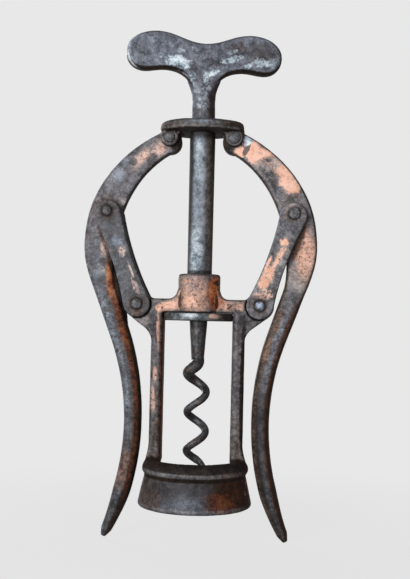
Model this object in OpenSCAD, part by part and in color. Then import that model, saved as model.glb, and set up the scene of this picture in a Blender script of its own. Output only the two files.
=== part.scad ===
// Double lever corkscrew: a cast frame with a bell for the bottle's lip, a screw on a plain shank, and two
// long curved levers that hang from a collar under the handle and are tied to the frame by paired links.
// The origin is the centre of the seat inside the bell. +Z runs up the screw, +X to the right lever.

/* [Bell] */
// Bore that takes the lip of the bottle, radius
seat_r = 15.2; // [14:0.1:16]
// Depth of the bell below the seat
bell_h = 9; // [7:0.1:12]
// Height of the flared lead-in at the mouth
mouth_lead = 2.5; // [1:0.1:4]
// Outer radius of the mouth
mouth_r = 20.75; // [19.5:0.05:23]
// Wall left at the mouth's edge
mouth_wall = 2.6; // [1.5:0.1:4]
// Rounding of the mouth's outer edge
mouth_round = 1.1; // [0.5:0.1:2]
// Outer radius of the bead round the top of the bell
bead_r = 19.4; // [18.8:0.05:21]
// Rounding radius of the bead's upper side
bead_round = 3.6; // [2.5:0.1:4]
// Rounding radius of its underside
bead_under = 1.8; // [1.2:0.1:2.2]
// Angle below level at which the bead runs into the skirt
bead_turn = 65; // [45:1:75]
// Height of the ring above the seat
ring_h = 8; // [7:0.1:11]
// Opening above the seat for the cork, radius
throat_r = 12.6; // [11:0.1:12.7]
// How far the ring runs on behind the columns, in degrees
ring_wrap = 16; // [16:4:20]

/* [Frame] */
// Inner face of each column from the axis
column_in = 12.95; // [12.9:0.05:14.5]
// Width of a column seen from the front
column_w = 3.85; // [3:0.05:5]
// Rounding of a column's long edges, between the flare and the web
column_round = 1.3; // [0.5:0.1:1.4]
// Depth of the columns and the bridge, front to back
frame_d = 8; // [7:0.1:10]
// Clear height of the window under the bridge
window_h = 53.4; // [45:0.1:60]
// Height of the bridge
bridge_h = 4.8; // [3.5:0.1:7]
// Radius of the concave flare at the foot of a column
flare_r = 28; // [15:1:40]
// Height of that flare
flare_h = 8; // [5:0.5:12]
// Radius of the boss round the shank
boss_r = 7.7; // [7:0.05:9]
// Height of the boss above the bridge
boss_h = 9.2; // [5:0.1:12]
// Rounding of the boss's top edge
boss_round = 1; // [0.4:0.1:2]
// Fillet between the boss and the bridge
boss_fillet = 3.3; // [1:0.1:4]
// Distance of the frame pivots from the axis
lug_x = 22.4; // [22:0.1:25]
// Height of the frame pivots above the underside of the bridge
lug_rise = 2.7; // [1.5:0.1:4]
// Radius of a lug round its pivot
lug_r = 5.2; // [4.9:0.05:5.3]
// Slope of the web under a lug, in degrees
web_slope = 36; // [25:1:45]
// Fillet between that web and the column
web_fillet = 7; // [2:0.5:8]
// Fillet between the bridge and a lug
lug_fillet = 2; // [0.5:0.1:3]

/* [Screw] */
// Radius of the shank
shank_r = 4.7; // [4:0.05:5.2]
// Length of the shank between the stop disc and the collar
shank_len = 66.6; // [63:0.1:70]
// Radius of the shank's neck in the collar
journal_r = 3.6; // [3.2:0.05:3.8]
// Radius of the tenon in the handle
tenon_r = 3; // [2:0.05:3.4]
// Length of the tenon in the handle
tenon_len = 9; // [5:0.1:12]
// Thickness of the stop disc
disc_t = 2.8; // [2:0.1:4]
// Rounding of the disc's rim
disc_round = 0.5; // [0.2:0.1:0.9]
// Radius of the worm's spigot in the shank
spigot_r = 2.4; // [1.5:0.05:2.8]
// Length of the spigot above the disc
spigot_len = 8; // [4:0.1:12]
// Radius of the worm's stem under the disc
stem_r = 3.3; // [2.9:0.05:4]
// Radius at the foot of the stem
stem_foot_r = 2.35; // [2:0.05:2.8]
// Length of the stem
stem_len = 13.2; // [8:0.1:18]
// Radius of the coil at the middle of the wire
coil_r = 3.35; // [2.5:0.05:4]
// Height that one turn of the coil climbs
coil_pitch = 14.2; // [11:0.1:18]
// Height of the worm's point above the seat
point_z = 2.6; // [2.5:0.1:8]
// Height over which the wire tapers to the point
point_len = 4.5; // [3:0.1:9]
// Radius of the wire in the coil
wire_r = 1.4; // [1.2:0.05:1.8]
// Direction of the worm's point round the axis, in degrees
point_turn = 350; // [0:1:359]

/* [Collar] */
// Width of the collar's oval plate
collar_w = 31.7; // [30:0.1:34]
// Depth of the plate, front to back
collar_d = 24; // [22:0.1:28]
// Thickness of the plate
collar_t = 3.6; // [3.2:0.1:5]
// Rounding of the plate's upper edge
collar_round = 2.1; // [0.5:0.1:2.2]
// Rounding of its lower edge
collar_low_round = 0.6; // [0.3:0.1:0.8]
// Distance of the collar pivots from the axis
ear_x = 11.9; // [11.6:0.1:12.4]
// Drop of the collar pivots under the plate
pivot_drop = 2.5; // [2:0.1:4]
// Radius of an ear round its pivot
ear_r = 3.2; // [2.9:0.05:3.6]
// Thickness of an ear
ear_t = 2.5; // [2:0.1:3]
// Fillet between an ear and the underside of the plate
ear_fillet = 2; // [0.5:0.1:2.4]
// Radius of the round pad on an ear, under the rivet's head
pad_r = 2.95; // [2.7:0.05:3.1]
// Height of that pad
pad_h = 0.5; // [0.2:0.1:0.8]

/* [Handle] */
// Width of the handle across its lobes
handle_w = 57.8; // [50:0.1:70]
// Height of the lobes' tops above the collar
handle_h = 33.2; // [30:0.1:38]
// Depth of the dip in the middle of the top edge
handle_dip = 3.9; // [2:0.1:6]
// Height of a lobe
lobe_h = 14.6; // [12:0.1:17]
// Thickness of the handle
handle_t = 5; // [4:0.1:7]
// Rounding of the handle's edges
handle_round = 1.3; // [0.6:0.1:1.8]
// Radius of the handle's neck at the collar
neck_r = 4.35; // [4.2:0.05:6]
// Half width of the neck at its narrowest
neck_waist = 3.9; // [3.7:0.05:4.1]
// Height above the collar at which the round neck is lost in the flat handle
neck_blend = 22; // [16:0.5:26]
// Turn of the handle about the shank at rest, in degrees
handle_turn = 10; // [-90:1:90]

/* [Levers and links] */
// Distance of the elbow pivots, where levers and links meet, from the axis
elbow_x = 34.25; // [33.5:0.05:35]
// Drop of the elbow pivots below the collar pivots
elbow_drop = 27.3; // [26.5:0.1:28]
// Thickness of a lever at its pivots
lever_t = 5; // [4.4:0.1:5.6]
// Thickness of a lever at its waist
grip_t = 6; // [4:0.1:7]
// Radius of a lever's upper bow
bow_r = 44.8; // [43:0.1:47]
// How far the bow passes outside the elbow pivot and inside the collar pivot
bow_shift = 0.8; // [0:0.1:1.5]
// Length of the straight run between the bow and the lower sweep
straight_len = 17; // [12:0.5:20]
// Gap between a lever's waist and the bead
waist_gap = 0.75; // [0.5:0.05:2]
// Height of a lever's waist above the seat
waist_z = 21.2; // [16:0.1:26]
// Reach of the levers' tips below the bell's mouth
tip_drop = 12.2; // [5:0.1:20]
// Half width of a lever at its collar pivot
head_w = 4.1; // [3.4:0.05:4.4]
// Half width at the elbow pivot
elbow_w = 6; // [5:0.05:6.5]
// Half width where the bow stands furthest out
belly_w = 5.6; // [4.8:0.05:6]
// Half width where the bow ends
bow_end_w = 3.85; // [3.3:0.05:4.2]
// Half width at the waist
waist_w = 3.2; // [2.8:0.05:3.6]
// Half width at the start of the tip
tip_w = 1.9; // [1.5:0.05:2.6]
// Thickness of a link
link_t = 2.6; // [2:0.1:3.2]
// Radius of a link's lower end
link_end_r = 4.65; // [4.4:0.05:5]
// Radius of a link's upper end
link_top_r = 4.65; // [4.4:0.05:5.4]
// How far the upper end's centre lies below its pivot
link_top_drop = 0.9; // [0:0.1:1.6]
// Width of a link at its waist
link_waist = 6.9; // [6:0.1:8.5]
// Travel of the screw, for which the elbows have room
travel = 38; // [30:1:40]

/* [Rivets] */
// Radius of the rivets
pin_r = 1.6; // [1.2:0.05:1.8]
// Radius of their heads
head_r = 2.05; // [1.9:0.05:2.6]
// Height of their heads
head_h = 0.9; // [0.5:0.1:1.4]

/* [Clearances] */
// Between turning or sliding round faces, radial
run_fit = 0.06; // [0.02:0.01:0.1]
// Between flat faces that slide on each other
face_gap = 0.1; // [0.05:0.05:0.3]
// Between a lever and the ears on each side of it
ear_gap = 0.15; // [0.05:0.05:0.3]
// Between the stop disc and the bridge or the columns
stop_gap = 0.3; // [0.2:0.05:0.5]
// Between the elbow rivet and the long eye in a lever, at the least
elbow_gap = 0.2; // [0.1:0.05:0.4]

/* [Hidden] */
$fn = 64;
// Overlap of pieces that are fused, and of cutters past a face
lap = 1;

// Heights, from the seat up
bridge_z = ring_h + window_h;
bridge_top = bridge_z + bridge_h;
boss_top = bridge_top + boss_h;
disc_top = bridge_z - stop_gap;
disc_z = disc_top - disc_t;
collar_z = disc_top + shank_len;
collar_top = collar_z + collar_t;
handle_z = collar_top + face_gap;
tip_z = -bell_h - tip_drop;

// Places across
column_out = column_in + column_w;
column_mid = column_in + column_w / 2;
bead_o = [bead_r - bead_round, ring_h - bead_round];
bead_under_o = [bead_r - bead_under, bead_o[1]];
skirt_top = bead_under_o + bead_under * ray(-bead_turn);
disc_r = column_in - stop_gap;
ear_in = lever_t / 2 + ear_gap;
ear_face = ear_in + ear_t;
pad_face = ear_face + pad_h;
link_in = lever_t / 2 + face_gap;
link_face = link_in + link_t;

// Pivots in the X-Z plane: collar, frame, and the elbow where lever and link meet
collar_pivot = [ear_x, collar_z - pivot_drop];
frame_pivot = [lug_x, bridge_z + lug_rise];
elbow = [elbow_x, collar_pivot[1] - elbow_drop];
arm_len = norm(elbow - collar_pivot);
link_len = norm(elbow - frame_pivot);
arm_dir = (elbow - collar_pivot) / arm_len;
arm_out = [-arm_dir[1], arm_dir[0]];

// A lever's middle line: an outward bow, a straight run and an inward sweep, tangent to each other
waist_x = bead_r + waist_gap + waist_w;
bow_o = bow_centre(collar_pivot - bow_shift * arm_out, elbow + bow_shift * arm_out, bow_r);
to_waist = [waist_x, waist_z] - bow_o;
sweep_r =
    (to_waist * to_waist - bow_r * bow_r - straight_len * straight_len) / (2 * (bow_r - to_waist[0]));
sweep_o = [waist_x + sweep_r, waist_z];
join_a = heading(sweep_o - bow_o) + acos((bow_r + sweep_r) / norm(sweep_o - bow_o));
join_bow = bow_o + bow_r * ray(join_a);
join_sweep = sweep_o - sweep_r * ray(join_a);
head_a = heading(collar_pivot - bow_o);
tip_a = 180 + asin((waist_z - tip_z) / sweep_r);
bow_run = arc_run(bow_r, head_a - join_a);
elbow_run = arc_run(bow_r, head_a - heading(elbow - bow_o));
belly_run = arc_run(bow_r, head_a);
sweep_start = bow_run + norm(join_sweep - join_bow);
waist_run = sweep_start + arc_run(sweep_r, -join_a);
lever_run = sweep_start + arc_run(sweep_r, tip_a - 180 - join_a);
// Lengths of the tapering tip and of the rounding at its end
tip_len = 19;
tip_round = 1.6;
// How square a lever's section is: 2 is an oval, more is squarer
plate_square = 7;
grip_square = 2.3;
// Stations down a lever: run, outer and inner half widths, thickness, squareness
lever_stations = [
    [0, head_w, head_w, lever_t, plate_square],
    [elbow_run, elbow_w, elbow_w, lever_t, plate_square],
    [belly_run, belly_w, belly_w, lever_t, plate_square],
    [bow_run, bow_end_w, bow_end_w, (lever_t + grip_t) / 2, 4],
    [waist_run, waist_w, waist_w, grip_t, grip_square],
    [lever_run - tip_len, waist_w, waist_w, grip_t, grip_square],
    [lever_run - tip_round, tip_w, tip_w, tip_w * 2, 2],
    [lever_run, tip_w * 0.45, tip_w * 0.45, tip_w * 0.9, 2]
];
lever_rings = 54;
lever_sides = 24;

// The rounded head of a lever reaches on below its collar pivot
head_reach = 1.3;
head_spread = 0.1;
head_pad_r = head_w + head_spread;
head_pad = collar_pivot - [head_spread, head_reach];

// Room in a lever for the elbow rivet, which drifts from the exact pivot while levers and links turn evenly
lever_turn = heading(elbow_at(travel) - collar_pivot + [0, travel]) - heading(elbow - collar_pivot);
link_turn = heading(elbow_at(travel) - frame_pivot) - heading(elbow - frame_pivot);
drift = [for (share = [0:0.05:1]) rivet_drift(share)];
drift_out = [for (d = drift) d * arm_out];
elbow_room_len = max([for (d = drift) -d * arm_dir]);
elbow_room_out = (max(drift_out) + min(drift_out)) / 2;
elbow_room_r = pin_r + elbow_gap + (max(drift_out) - min(drift_out)) / 2;

// How far outside the round ends the curve of a link's sides is aimed, so that it starts beyond them
side_start = 0.2;

// Slot in the collar's ends, through which the levers swing up, and how far the ears keep inside the oval
slot_in = ear_x - head_w + 0.2;
ear_inset = 0.3;

// The handle's neck: the flange at its foot, where its taper starts and how deep it ends inside the flat
neck_flange = 0.6;
neck_flange_h = 0.5;
neck_start = 5;
neck_sunk = 0.3;

// The worm's coil
coil_top = disc_z - stem_len;
coil_ease = 6;
point_r = 0.12;
coil_rings = 60;
coil_sides = 14;

function ray(a) = [cos(a), sin(a)];
function heading(v) = atan2(v[1], v[0]);
function arc_run(r, degrees) = r * degrees * PI / 180;
function ease(t) = let (u = min(max(t, 0), 1)) u * u * (3 - 2 * u);
function signed_power(v, p) = sign(v) * pow(abs(v), p);
function unit(v) = v / norm(v);

// The point at given distances from two pivots, on the outer side
function meeting(a, reach_a, c, reach_c) =
    let (span = norm(c - a), u = (c - a) / span)
    let (along = (reach_a * reach_a - reach_c * reach_c + span * span) / (2 * span))
    a + along * u + sqrt(reach_a * reach_a - along * along) * [-u[1], u[0]];

// The elbow after a travel of the screw, and the elbow rivet's drift in the lever after a share of it
function elbow_at(way) = meeting(collar_pivot - [0, way], arm_len, frame_pivot, link_len);
function turned(v, a) = [v[0] * cos(a) - v[1] * sin(a), v[0] * sin(a) + v[1] * cos(a)];
function rivet_drift(share) =
    let (rivet_at = frame_pivot + turned(elbow - frame_pivot, share * link_turn))
    let (pivot_at = collar_pivot - [0, share * travel])
    turned(rivet_at - pivot_at, -share * lever_turn) - (elbow - collar_pivot);

// Centre of a circle of given radius through two points, on the inner side
function bow_centre(p, q, r) =
    let (half = (q - p) / 2, u = half / norm(half))
    p + half + sqrt(r * r - half * half) * [u[1], -u[0]];

// Place and direction of a lever's middle line after a run from the collar pivot
function lever_place(run) =
    run < bow_run ? bow_o + bow_r * ray(head_a - run / bow_r * 180 / PI)
    : run < sweep_start ? join_bow + unit(join_sweep - join_bow) * (run - bow_run)
    : sweep_o + sweep_r * ray(180 + join_a + (run - sweep_start) / sweep_r * 180 / PI);
function lever_out(run) =
    run < bow_run ? ray(head_a - run / bow_r * 180 / PI)
    : run < sweep_start ? ray(join_a)
    : ray(join_a + (run - sweep_start) / sweep_r * 180 / PI);

// Values between stations, eased
function station(list, run, i = 0) =
    i >= len(list) - 2 || run <= list[i + 1][0]
    ? let (t = (run - list[i][0]) / (list[i + 1][0] - list[i][0]))
        list[i] + (list[i + 1] - list[i]) * (0.5 * t + 0.5 * ease(t))
    : station(list, run, i + 1);

// One section of a lever, as a ring of points
function lever_ring(run) =
    let (at = lever_place(run), out = lever_out(run), w = station(lever_stations, run))
    [
        for (k = [0:lever_sides - 1])
            let (c = cos(k * 360 / lever_sides), s = sin(k * 360 / lever_sides))
            let (across = (c > 0 ? w[1] : w[2]) * signed_power(c, 2 / w[4]))
            [at[0] + out[0] * across, w[3] / 2 * signed_power(s, 2 / w[4]), at[1] + out[1] * across]
    ];

// The worm's middle line, from the foot of the stem (0) to the point (1)
function coil_place(t) =
    let (z = coil_top + (point_z - coil_top) * t)
    let (r = coil_r * ease((coil_top - z) / coil_ease))
    let (a = point_turn + (z - point_z) / coil_pitch * 360)
    [r * cos(a), r * sin(a), z];
function coil_wire(t) =
    let (left = (coil_top - point_z) * (1 - t))
    let (full = wire_r + (stem_foot_r - wire_r) * (1 - ease(t * 3)))
    point_r + (full - point_r) * min(1, max(0, left / point_len));
function coil_ring(t) =
    let (step = 0.002, at = coil_place(t), a = point_turn + (at[2] - point_z) / coil_pitch * 360)
    let (along = unit(coil_place(t + step) - coil_place(t - step)))
    let (up = unit(cross(along, [cos(a), sin(a), 0])), out = cross(up, along), r = coil_wire(t))
    [
        for (k = [0:coil_sides - 1])
            at + r * cos(k * 360 / coil_sides) * out - r * sin(k * 360 / coil_sides) * up
    ];

// Least gap between neighbouring turns of the worm, measured on points half a turn or more apart
coil_points = [for (i = [0:3:coil_rings]) [coil_place(i / coil_rings), coil_wire(i / coil_rings)]];
coil_gap = min([
    for (p = coil_points, q = coil_points)
        if (p[0][2] - q[0][2] > coil_pitch / 2) norm(p[0] - q[0]) - p[1] - q[1]
]);
echo(coil_gap = coil_gap);

// Points of a cubic curve, without its last
function curve(p, n) = [
    for (i = [0:n - 1])
        let (t = i / n, s = 1 - t)
        s * s * s * p[0] + 3 * s * s * t * p[1] + 3 * s * t * t * p[2] + t * t * t * p[3]
];

// A closed outline, drawn clockwise, moved inwards along its normals
function inset(points, by) = [
    for (i = [0:len(points) - 1])
        let (n = len(points), along = unit(points[(i + 1) % n] - points[(i + n - 1) % n]))
        points[i] + by * [along[1], -along[0]]
];

// Solid through rings of points
module loft(rings) {
    n = len(rings[0]);
    last = len(rings) - 1;
    sides = [
        for (i = [0:last - 1], j = [0:n - 1])
            let (a = i * n + j, b = i * n + (j + 1) % n)
            each [[a, b, b + n], [a, b + n, a + n]]
    ];
    caps = [[for (j = [n - 1:-1:0]) j], [for (j = [0:n - 1]) last * n + j]];
    polyhedron([for (ring = rings) each ring], concat(sides, caps));
}

// Plate of a given outline with rounded lower and upper edges, from z = 0 up
module rounded_plate(outline, thickness, low_round, top_round, steps = 3) {
    edge = [for (i = [0:steps]) [1 - sin(90 * i / steps), 1 - cos(90 * i / steps)]];
    levels = [
        each low_round * edge,
        each [for (i = [steps:-1:0]) [top_round * edge[i][0], thickness - top_round * edge[i][1]]]
    ];
    loft([for (level = levels) [for (p = inset(outline, level[0])) [p[0], p[1], level[1]]]]);
}

// Cylinder along Y through a point of the X-Z plane
module cross_cylinder(at, r, length) {
    translate([at[0], 0, at[1]])
        rotate([90, 0, 0])
            cylinder(h = length, r = r, center = true);
}

// Extrusion along Y of an outline drawn in the X-Z plane, centred
module front_extrude(depth) {
    rotate([90, 0, 0])
        linear_extrude(depth, center = true)
            children();
}

module both_sides() {
    children();
    mirror([1, 0, 0])
        children();
}

// Filling of a corner whose arms leave it at two angles, less the round of the fillet
module corner_fillet(at, a0, a1, r) {
    half = (a1 - a0) / 2;
    centre = at + r / sin(half) * ray(a0 + half);
    reach = r / tan(half);
    difference() {
        polygon([at - lap * ray(a0 + half), at + reach * ray(a0), centre, at + reach * ray(a1)]);
        translate(centre)
            circle(r);
    }
}

// Section of the right column, with rounded corners
module column_section() {
    translate([column_in, column_round - frame_d / 2])
        square([column_w, frame_d - 2 * column_round]);
    translate([column_in + column_round, -frame_d / 2])
        square([column_w - 2 * column_round, frame_d]);
    for (x = [column_in + column_round, column_out - column_round], side = [1, -1])
        translate([x, side * (frame_d / 2 - column_round)])
            circle(column_round);
}

// Right half of the bridge seen from the front, with the fillet up to the boss
module bridge_outline() {
    translate([0, bridge_z])
        square([column_out, bridge_h]);
    difference() {
        translate([0, bridge_z])
            square([boss_r + boss_fillet, bridge_h + boss_fillet]);
        translate([boss_r + boss_fillet, bridge_top + boss_fillet])
            circle(boss_fillet);
    }
}

// Right lug seen from the front, with the web under it and the flare at the foot of the column
module lug_outline() {
    web_end = frame_pivot + lug_r * ray(web_slope - 90);
    web_foot = [column_out, web_end[1] - (web_end[0] - column_out) * tan(web_slope)];
    web_reach = web_fillet / tan((web_slope + 90) / 2);
    notch_rise = bridge_top + lug_fillet - frame_pivot[1];
    notch_o = frame_pivot + [-sqrt((lug_r + lug_fillet) ^ 2 - notch_rise ^ 2), notch_rise];
    translate(frame_pivot)
        circle(lug_r);
    polygon([
        [column_mid, bridge_top], [frame_pivot[0], bridge_top], frame_pivot,
        web_end, web_foot, web_foot - [0, web_reach], [column_mid, web_foot[1] - web_reach]
    ]);
    corner_fillet(web_foot, -90, web_slope, web_fillet);
    difference() {
        polygon([
            [notch_o[0], bridge_top], frame_pivot,
            frame_pivot + lug_r * unit(notch_o - frame_pivot), notch_o
        ]);
        translate(notch_o)
            circle(lug_fillet);
    }
    difference() {
        translate([column_mid, ring_h - lap])
            square([column_w / 2 + flare_r, flare_h + lap]);
        translate([column_out + flare_r, ring_h + flare_h])
            circle(flare_r, $fn = 180);
        translate([column_out + flare_h / 4, 0])
            square([flare_r, ring_h + flare_h + lap]);
    }
}

// Skirt of the bell with its bore and seat, turned round the axis
module skirt() {
    mouth_in = mouth_r - mouth_wall;
    rotate_extrude($fn = 128)
        union() {
            polygon([
                [throat_r, skirt_top[1]], skirt_top,
                [mouth_r, mouth_round - bell_h], [mouth_r - mouth_round, -bell_h],
                [mouth_in, -bell_h], [seat_r, mouth_lead - bell_h], [seat_r, 0], [throat_r, 0]
            ]);
            translate([mouth_r - mouth_round, mouth_round - bell_h])
                circle(mouth_round);
        }
}

// Ring with its bead, round the front from column to column, opening upwards to its crest
module ring() {
    rotate(180 - ring_wrap)
        rotate_extrude(angle = 180 + 2 * ring_wrap, $fn = 128)
            union() {
                polygon([
                    [throat_r, skirt_top[1]], [bead_o[0], ring_h], bead_o, bead_under_o, skirt_top
                ]);
                intersection() {
                    translate(bead_o)
                        circle(bead_round);
                    translate(bead_o)
                        square(bead_round);
                }
                intersection() {
                    translate(bead_under_o)
                        circle(bead_under);
                    translate([bead_under_o[0], skirt_top[1]])
                        square([bead_under, bead_o[1] - skirt_top[1]]);
                }
            }
}

module frame() {
    color("#5b524d")
    difference() {
        union() {
            skirt();
            ring();
            both_sides()
                translate([0, 0, skirt_top[1] - lap])
                    linear_extrude(bridge_z - skirt_top[1] + 2 * lap)
                        column_section();
            front_extrude(frame_d)
                both_sides() {
                    bridge_outline();
                    lug_outline();
                }
            rotate_extrude()
                union() {
                    translate([0, bridge_z])
                        square([boss_r, bridge_h + boss_h - boss_round]);
                    translate([0, bridge_top])
                        square([boss_r - boss_round, boss_h]);
                    translate([boss_r - boss_round, boss_top - boss_round])
                        circle(boss_round);
                }
        }
        translate([0, 0, bridge_z - lap])
            cylinder(h = bridge_h + boss_h + 2 * lap, r = shank_r + run_fit);
        both_sides() {
            cross_cylinder(frame_pivot, pin_r + run_fit, frame_d + 2 * lap);
            for (side = [1, -1])
                translate([0, side * (lever_t + frame_d) / 2, 0])
                    cross_cylinder(frame_pivot, lug_r + face_gap, frame_d);
        }
    }
}

// Oval of the collar's plate, as points
function collar_oval() = [
    for (k = [0:63])
        let (a = -k * 360 / 64)
        [collar_w / 2 * cos(a), collar_d / 2 * sin(a)]
];

// The right pair of ears, with fillets up to the plate and a round pad on each
module ears() {
    ear_foot = [ear_x - ear_r, collar_z];
    difference() {
        union() {
            intersection() {
                translate([0, 0, collar_pivot[1] - 2 * ear_r])
                    linear_extrude(2 * ear_r + pivot_drop + collar_t / 2)
                        polygon(inset(collar_oval(), ear_inset));
                front_extrude(2 * ear_face)
                    union() {
                        translate(collar_pivot)
                            circle(ear_r);
                        translate(collar_pivot - [ear_r, 0])
                            square([2 * ear_r, pivot_drop + collar_t / 2]);
                        corner_fillet(ear_foot, 180, 270, ear_fillet);
                        translate(ear_foot - [ear_fillet, 0])
                            square([ear_fillet, collar_t / 2]);
                    }
            }
            cross_cylinder(collar_pivot, pad_r, 2 * pad_face);
        }
        translate([0, -ear_in, collar_pivot[1] - 2 * ear_r])
            cube([collar_w, 2 * ear_in, 4 * ear_r + collar_t]);
    }
}

module collar() {
    color("#4a423d")
    difference() {
        union() {
            translate([0, 0, collar_z])
                rounded_plate(collar_oval(), collar_t, collar_low_round, collar_round, 5);
            both_sides()
                ears();
        }
        translate([0, 0, collar_z - lap])
            cylinder(h = collar_t + 2 * lap, r = journal_r + run_fit);
        both_sides() {
            cross_cylinder(collar_pivot, pin_r + run_fit, collar_d);
            translate([slot_in, -ear_in, collar_pivot[1] - 2 * ear_r])
                cube([collar_w, 2 * ear_in, 4 * ear_r + collar_t]);
        }
    }
}

// Handle's outline in its own plane: two lobes over a neck, drawn clockwise from the middle of the top.
// Each line is one cubic curve, with shares of the half width across and of the lobe's height up.
function handle_half() =
    let (w = handle_w / 2, h = lobe_h, top = handle_h, low = top - h, dip = top - handle_dip)
    let (waist = low - 0.575 * h, side = top - 0.55 * h, under = low + 0.055 * h)
    [
        each curve([[0, dip], [0.23 * w, dip], [0.37 * w, top], [0.6 * w, top]], 8),
        each curve([[0.6 * w, top], [0.81 * w, top], [w, top - 0.2 * h], [w, side]], 8),
        each curve([[w, side], [w, low + 0.17 * h], [0.9 * w, low], [0.77 * w, low]], 7),
        each curve([[0.77 * w, low], [0.68 * w, low], [0.6 * w, low + 0.06 * h], [0.49 * w, under]], 4),
        each curve([[0.49 * w, under], [0.3 * w, low + 0.04 * h], [neck_waist, low - 0.17 * h],
            [neck_waist, waist]], 8),
        [neck_waist, waist],
        [neck_waist - neck_flange, 0.3 * waist]
    ];
function handle_outline() =
    let (half = handle_half(), n = len(half))
    [each half, each [for (i = [n - 1:-1:1]) [-half[i][0], half[i][1]]]];

// Profile of the round neck from its taper up, drawn in smoothly until it lies inside the flat
function neck_profile(steps) = [
    for (i = [0:steps])
        [
            neck_r + (handle_t / 2 - neck_sunk - neck_r) * ease(i / steps),
            neck_start + (neck_blend - neck_start) * i / steps
        ]
];

module handle() {
    color("#6a6869")
    translate([0, 0, handle_z])
        rotate(handle_turn)
            difference() {
                union() {
                    translate([0, handle_t / 2, 0])
                        rotate([90, 0, 0])
                            rounded_plate(handle_outline(), handle_t, handle_round, handle_round);
                    rotate_extrude()
                        polygon([
                            [0, 0], [neck_r + neck_flange, 0], [neck_r + neck_flange, neck_flange_h],
                            [neck_r, 3 * neck_flange_h], each neck_profile(8), [0, neck_blend]
                        ]);
                }
                translate([0, 0, -lap])
                    cylinder(h = tenon_len + lap, r = tenon_r + run_fit);
            }
}

module shank() {
    color("#7b8087")
    difference() {
        union() {
            translate([0, 0, disc_top])
                cylinder(h = shank_len - face_gap, r = shank_r);
            translate([0, 0, disc_top])
                cylinder(h = shank_len + collar_t + face_gap, r = journal_r);
            translate([0, 0, disc_top])
                cylinder(h = handle_z - disc_top + tenon_len - face_gap, r = tenon_r);
        }
        translate([0, 0, disc_top - lap])
            cylinder(h = spigot_len + face_gap + lap, r = spigot_r + run_fit);
    }
}

module stop_disc() {
    color("#8f9499")
    translate([0, 0, disc_z])
        rotate_extrude($fn = 128)
            difference() {
                union() {
                    square([disc_r - disc_round, disc_t]);
                    translate([0, disc_round])
                        square([disc_r, disc_t - 2 * disc_round]);
                    for (z = [disc_round, disc_t - disc_round])
                        translate([disc_r - disc_round, z])
                            circle(disc_round);
                }
                translate([0, -lap])
                    square([spigot_r + run_fit, disc_t + 2 * lap]);
            }
}

module worm() {
    color("#3f3d3d")
    union() {
        translate([0, 0, coil_top])
            cylinder(h = stem_len, r1 = stem_foot_r, r2 = stem_r);
        translate([0, 0, disc_z - lap])
            cylinder(h = lap + disc_t + spigot_len, r = spigot_r);
        loft([for (i = [0:coil_rings]) coil_ring((i - 1) / (coil_rings - 1))]);
    }
}

module lever() {
    difference() {
        union() {
            loft([for (i = [0:lever_rings]) lever_ring(lever_run * i / lever_rings)]);
            cross_cylinder(collar_pivot, head_w, lever_t);
            cross_cylinder(head_pad, head_pad_r, lever_t);
        }
        cross_cylinder(collar_pivot, pin_r + run_fit, lever_t + 2 * lap);
        elbow_room();
    }
}

module elbow_room() {
    start = elbow + elbow_room_out * arm_out;
    end = start - elbow_room_len * arm_dir;
    cross_cylinder(start, elbow_room_r, lever_t + 2 * lap);
    cross_cylinder(end, elbow_room_r, lever_t + 2 * lap);
    front_extrude(lever_t + 2 * lap)
        polygon([
            start + elbow_room_r * arm_out, end + elbow_room_r * arm_out,
            end - elbow_room_r * arm_out, start - elbow_room_r * arm_out
        ]);
}

module lever_left() { color("#57504d") mirror([1, 0, 0]) lever(); }
module lever_right() { color("#7a6154") lever(); }

// A link: round ends joined by a bar whose sides draw in to a waist
module link() {
    along = (elbow - frame_pivot) / link_len;
    span = link_len - link_top_drop;
    dip = (link_end_r + link_top_r - link_waist) / 2 + side_start;
    side_r = (span * span / 4 + dip * dip) / (2 * dip);
    difference() {
        front_extrude(link_t)
            translate(frame_pivot)
                rotate(heading(along))
                    union() {
                        circle(link_end_r);
                        translate([span, 0])
                            circle(link_top_r);
                        difference() {
                            polygon([
                                [0, -link_end_r], [span, -link_top_r],
                                [span, link_top_r], [0, link_end_r]
                            ]);
                            for (side = [1, -1])
                                translate([span / 2, side * (link_waist / 2 + side_r)])
                                    circle(side_r, $fn = 256);
                        }
                    }
        cross_cylinder(frame_pivot, pin_r + run_fit, link_t + 2 * lap);
        cross_cylinder(elbow, pin_r + run_fit, link_t + 2 * lap);
    }
}

module link_at(side, front) {
    color(side > 0 ? "#6f5a50" : "#4f4a48")
    translate([0, -front * (link_in + link_face) / 2, 0])
        if (side > 0)
            link();
        else
            mirror([1, 0, 0])
                link();
}

module link_left_front() link_at(-1, 1);
module link_left_back() link_at(-1, -1);
module link_right_front() link_at(1, 1);
module link_right_back() link_at(1, -1);

// A rivet with two domed heads, centred on the X-Z plane; its heads bear on faces at +-grip
module rivet(at, grip) {
    dome_r = (head_r * head_r + head_h * head_h) / (2 * head_h);
    color("#55504d")
    translate([at[0], 0, at[1]])
        rotate([90, 0, 0])
            rotate_extrude($fn = 48)
                union() {
                    translate([0, -grip - head_h / 2])
                        square([pin_r, 2 * grip + head_h]);
                    for (side = [1, -1])
                        intersection() {
                            translate([0, side * (grip + head_h - dome_r)])
                                circle(dome_r);
                            translate([0, side > 0 ? grip : -grip - head_h])
                                square([head_r, head_h]);
                        }
                }
}

module collar_rivet_left() rivet([-collar_pivot[0], collar_pivot[1]], pad_face);
module collar_rivet_right() rivet(collar_pivot, pad_face);
module elbow_rivet_left() rivet([-elbow[0], elbow[1]], link_face);
module elbow_rivet_right() rivet(elbow, link_face);
module frame_rivet_left() rivet([-frame_pivot[0], frame_pivot[1]], link_face + face_gap);
module frame_rivet_right() rivet(frame_pivot, link_face + face_gap);

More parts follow.
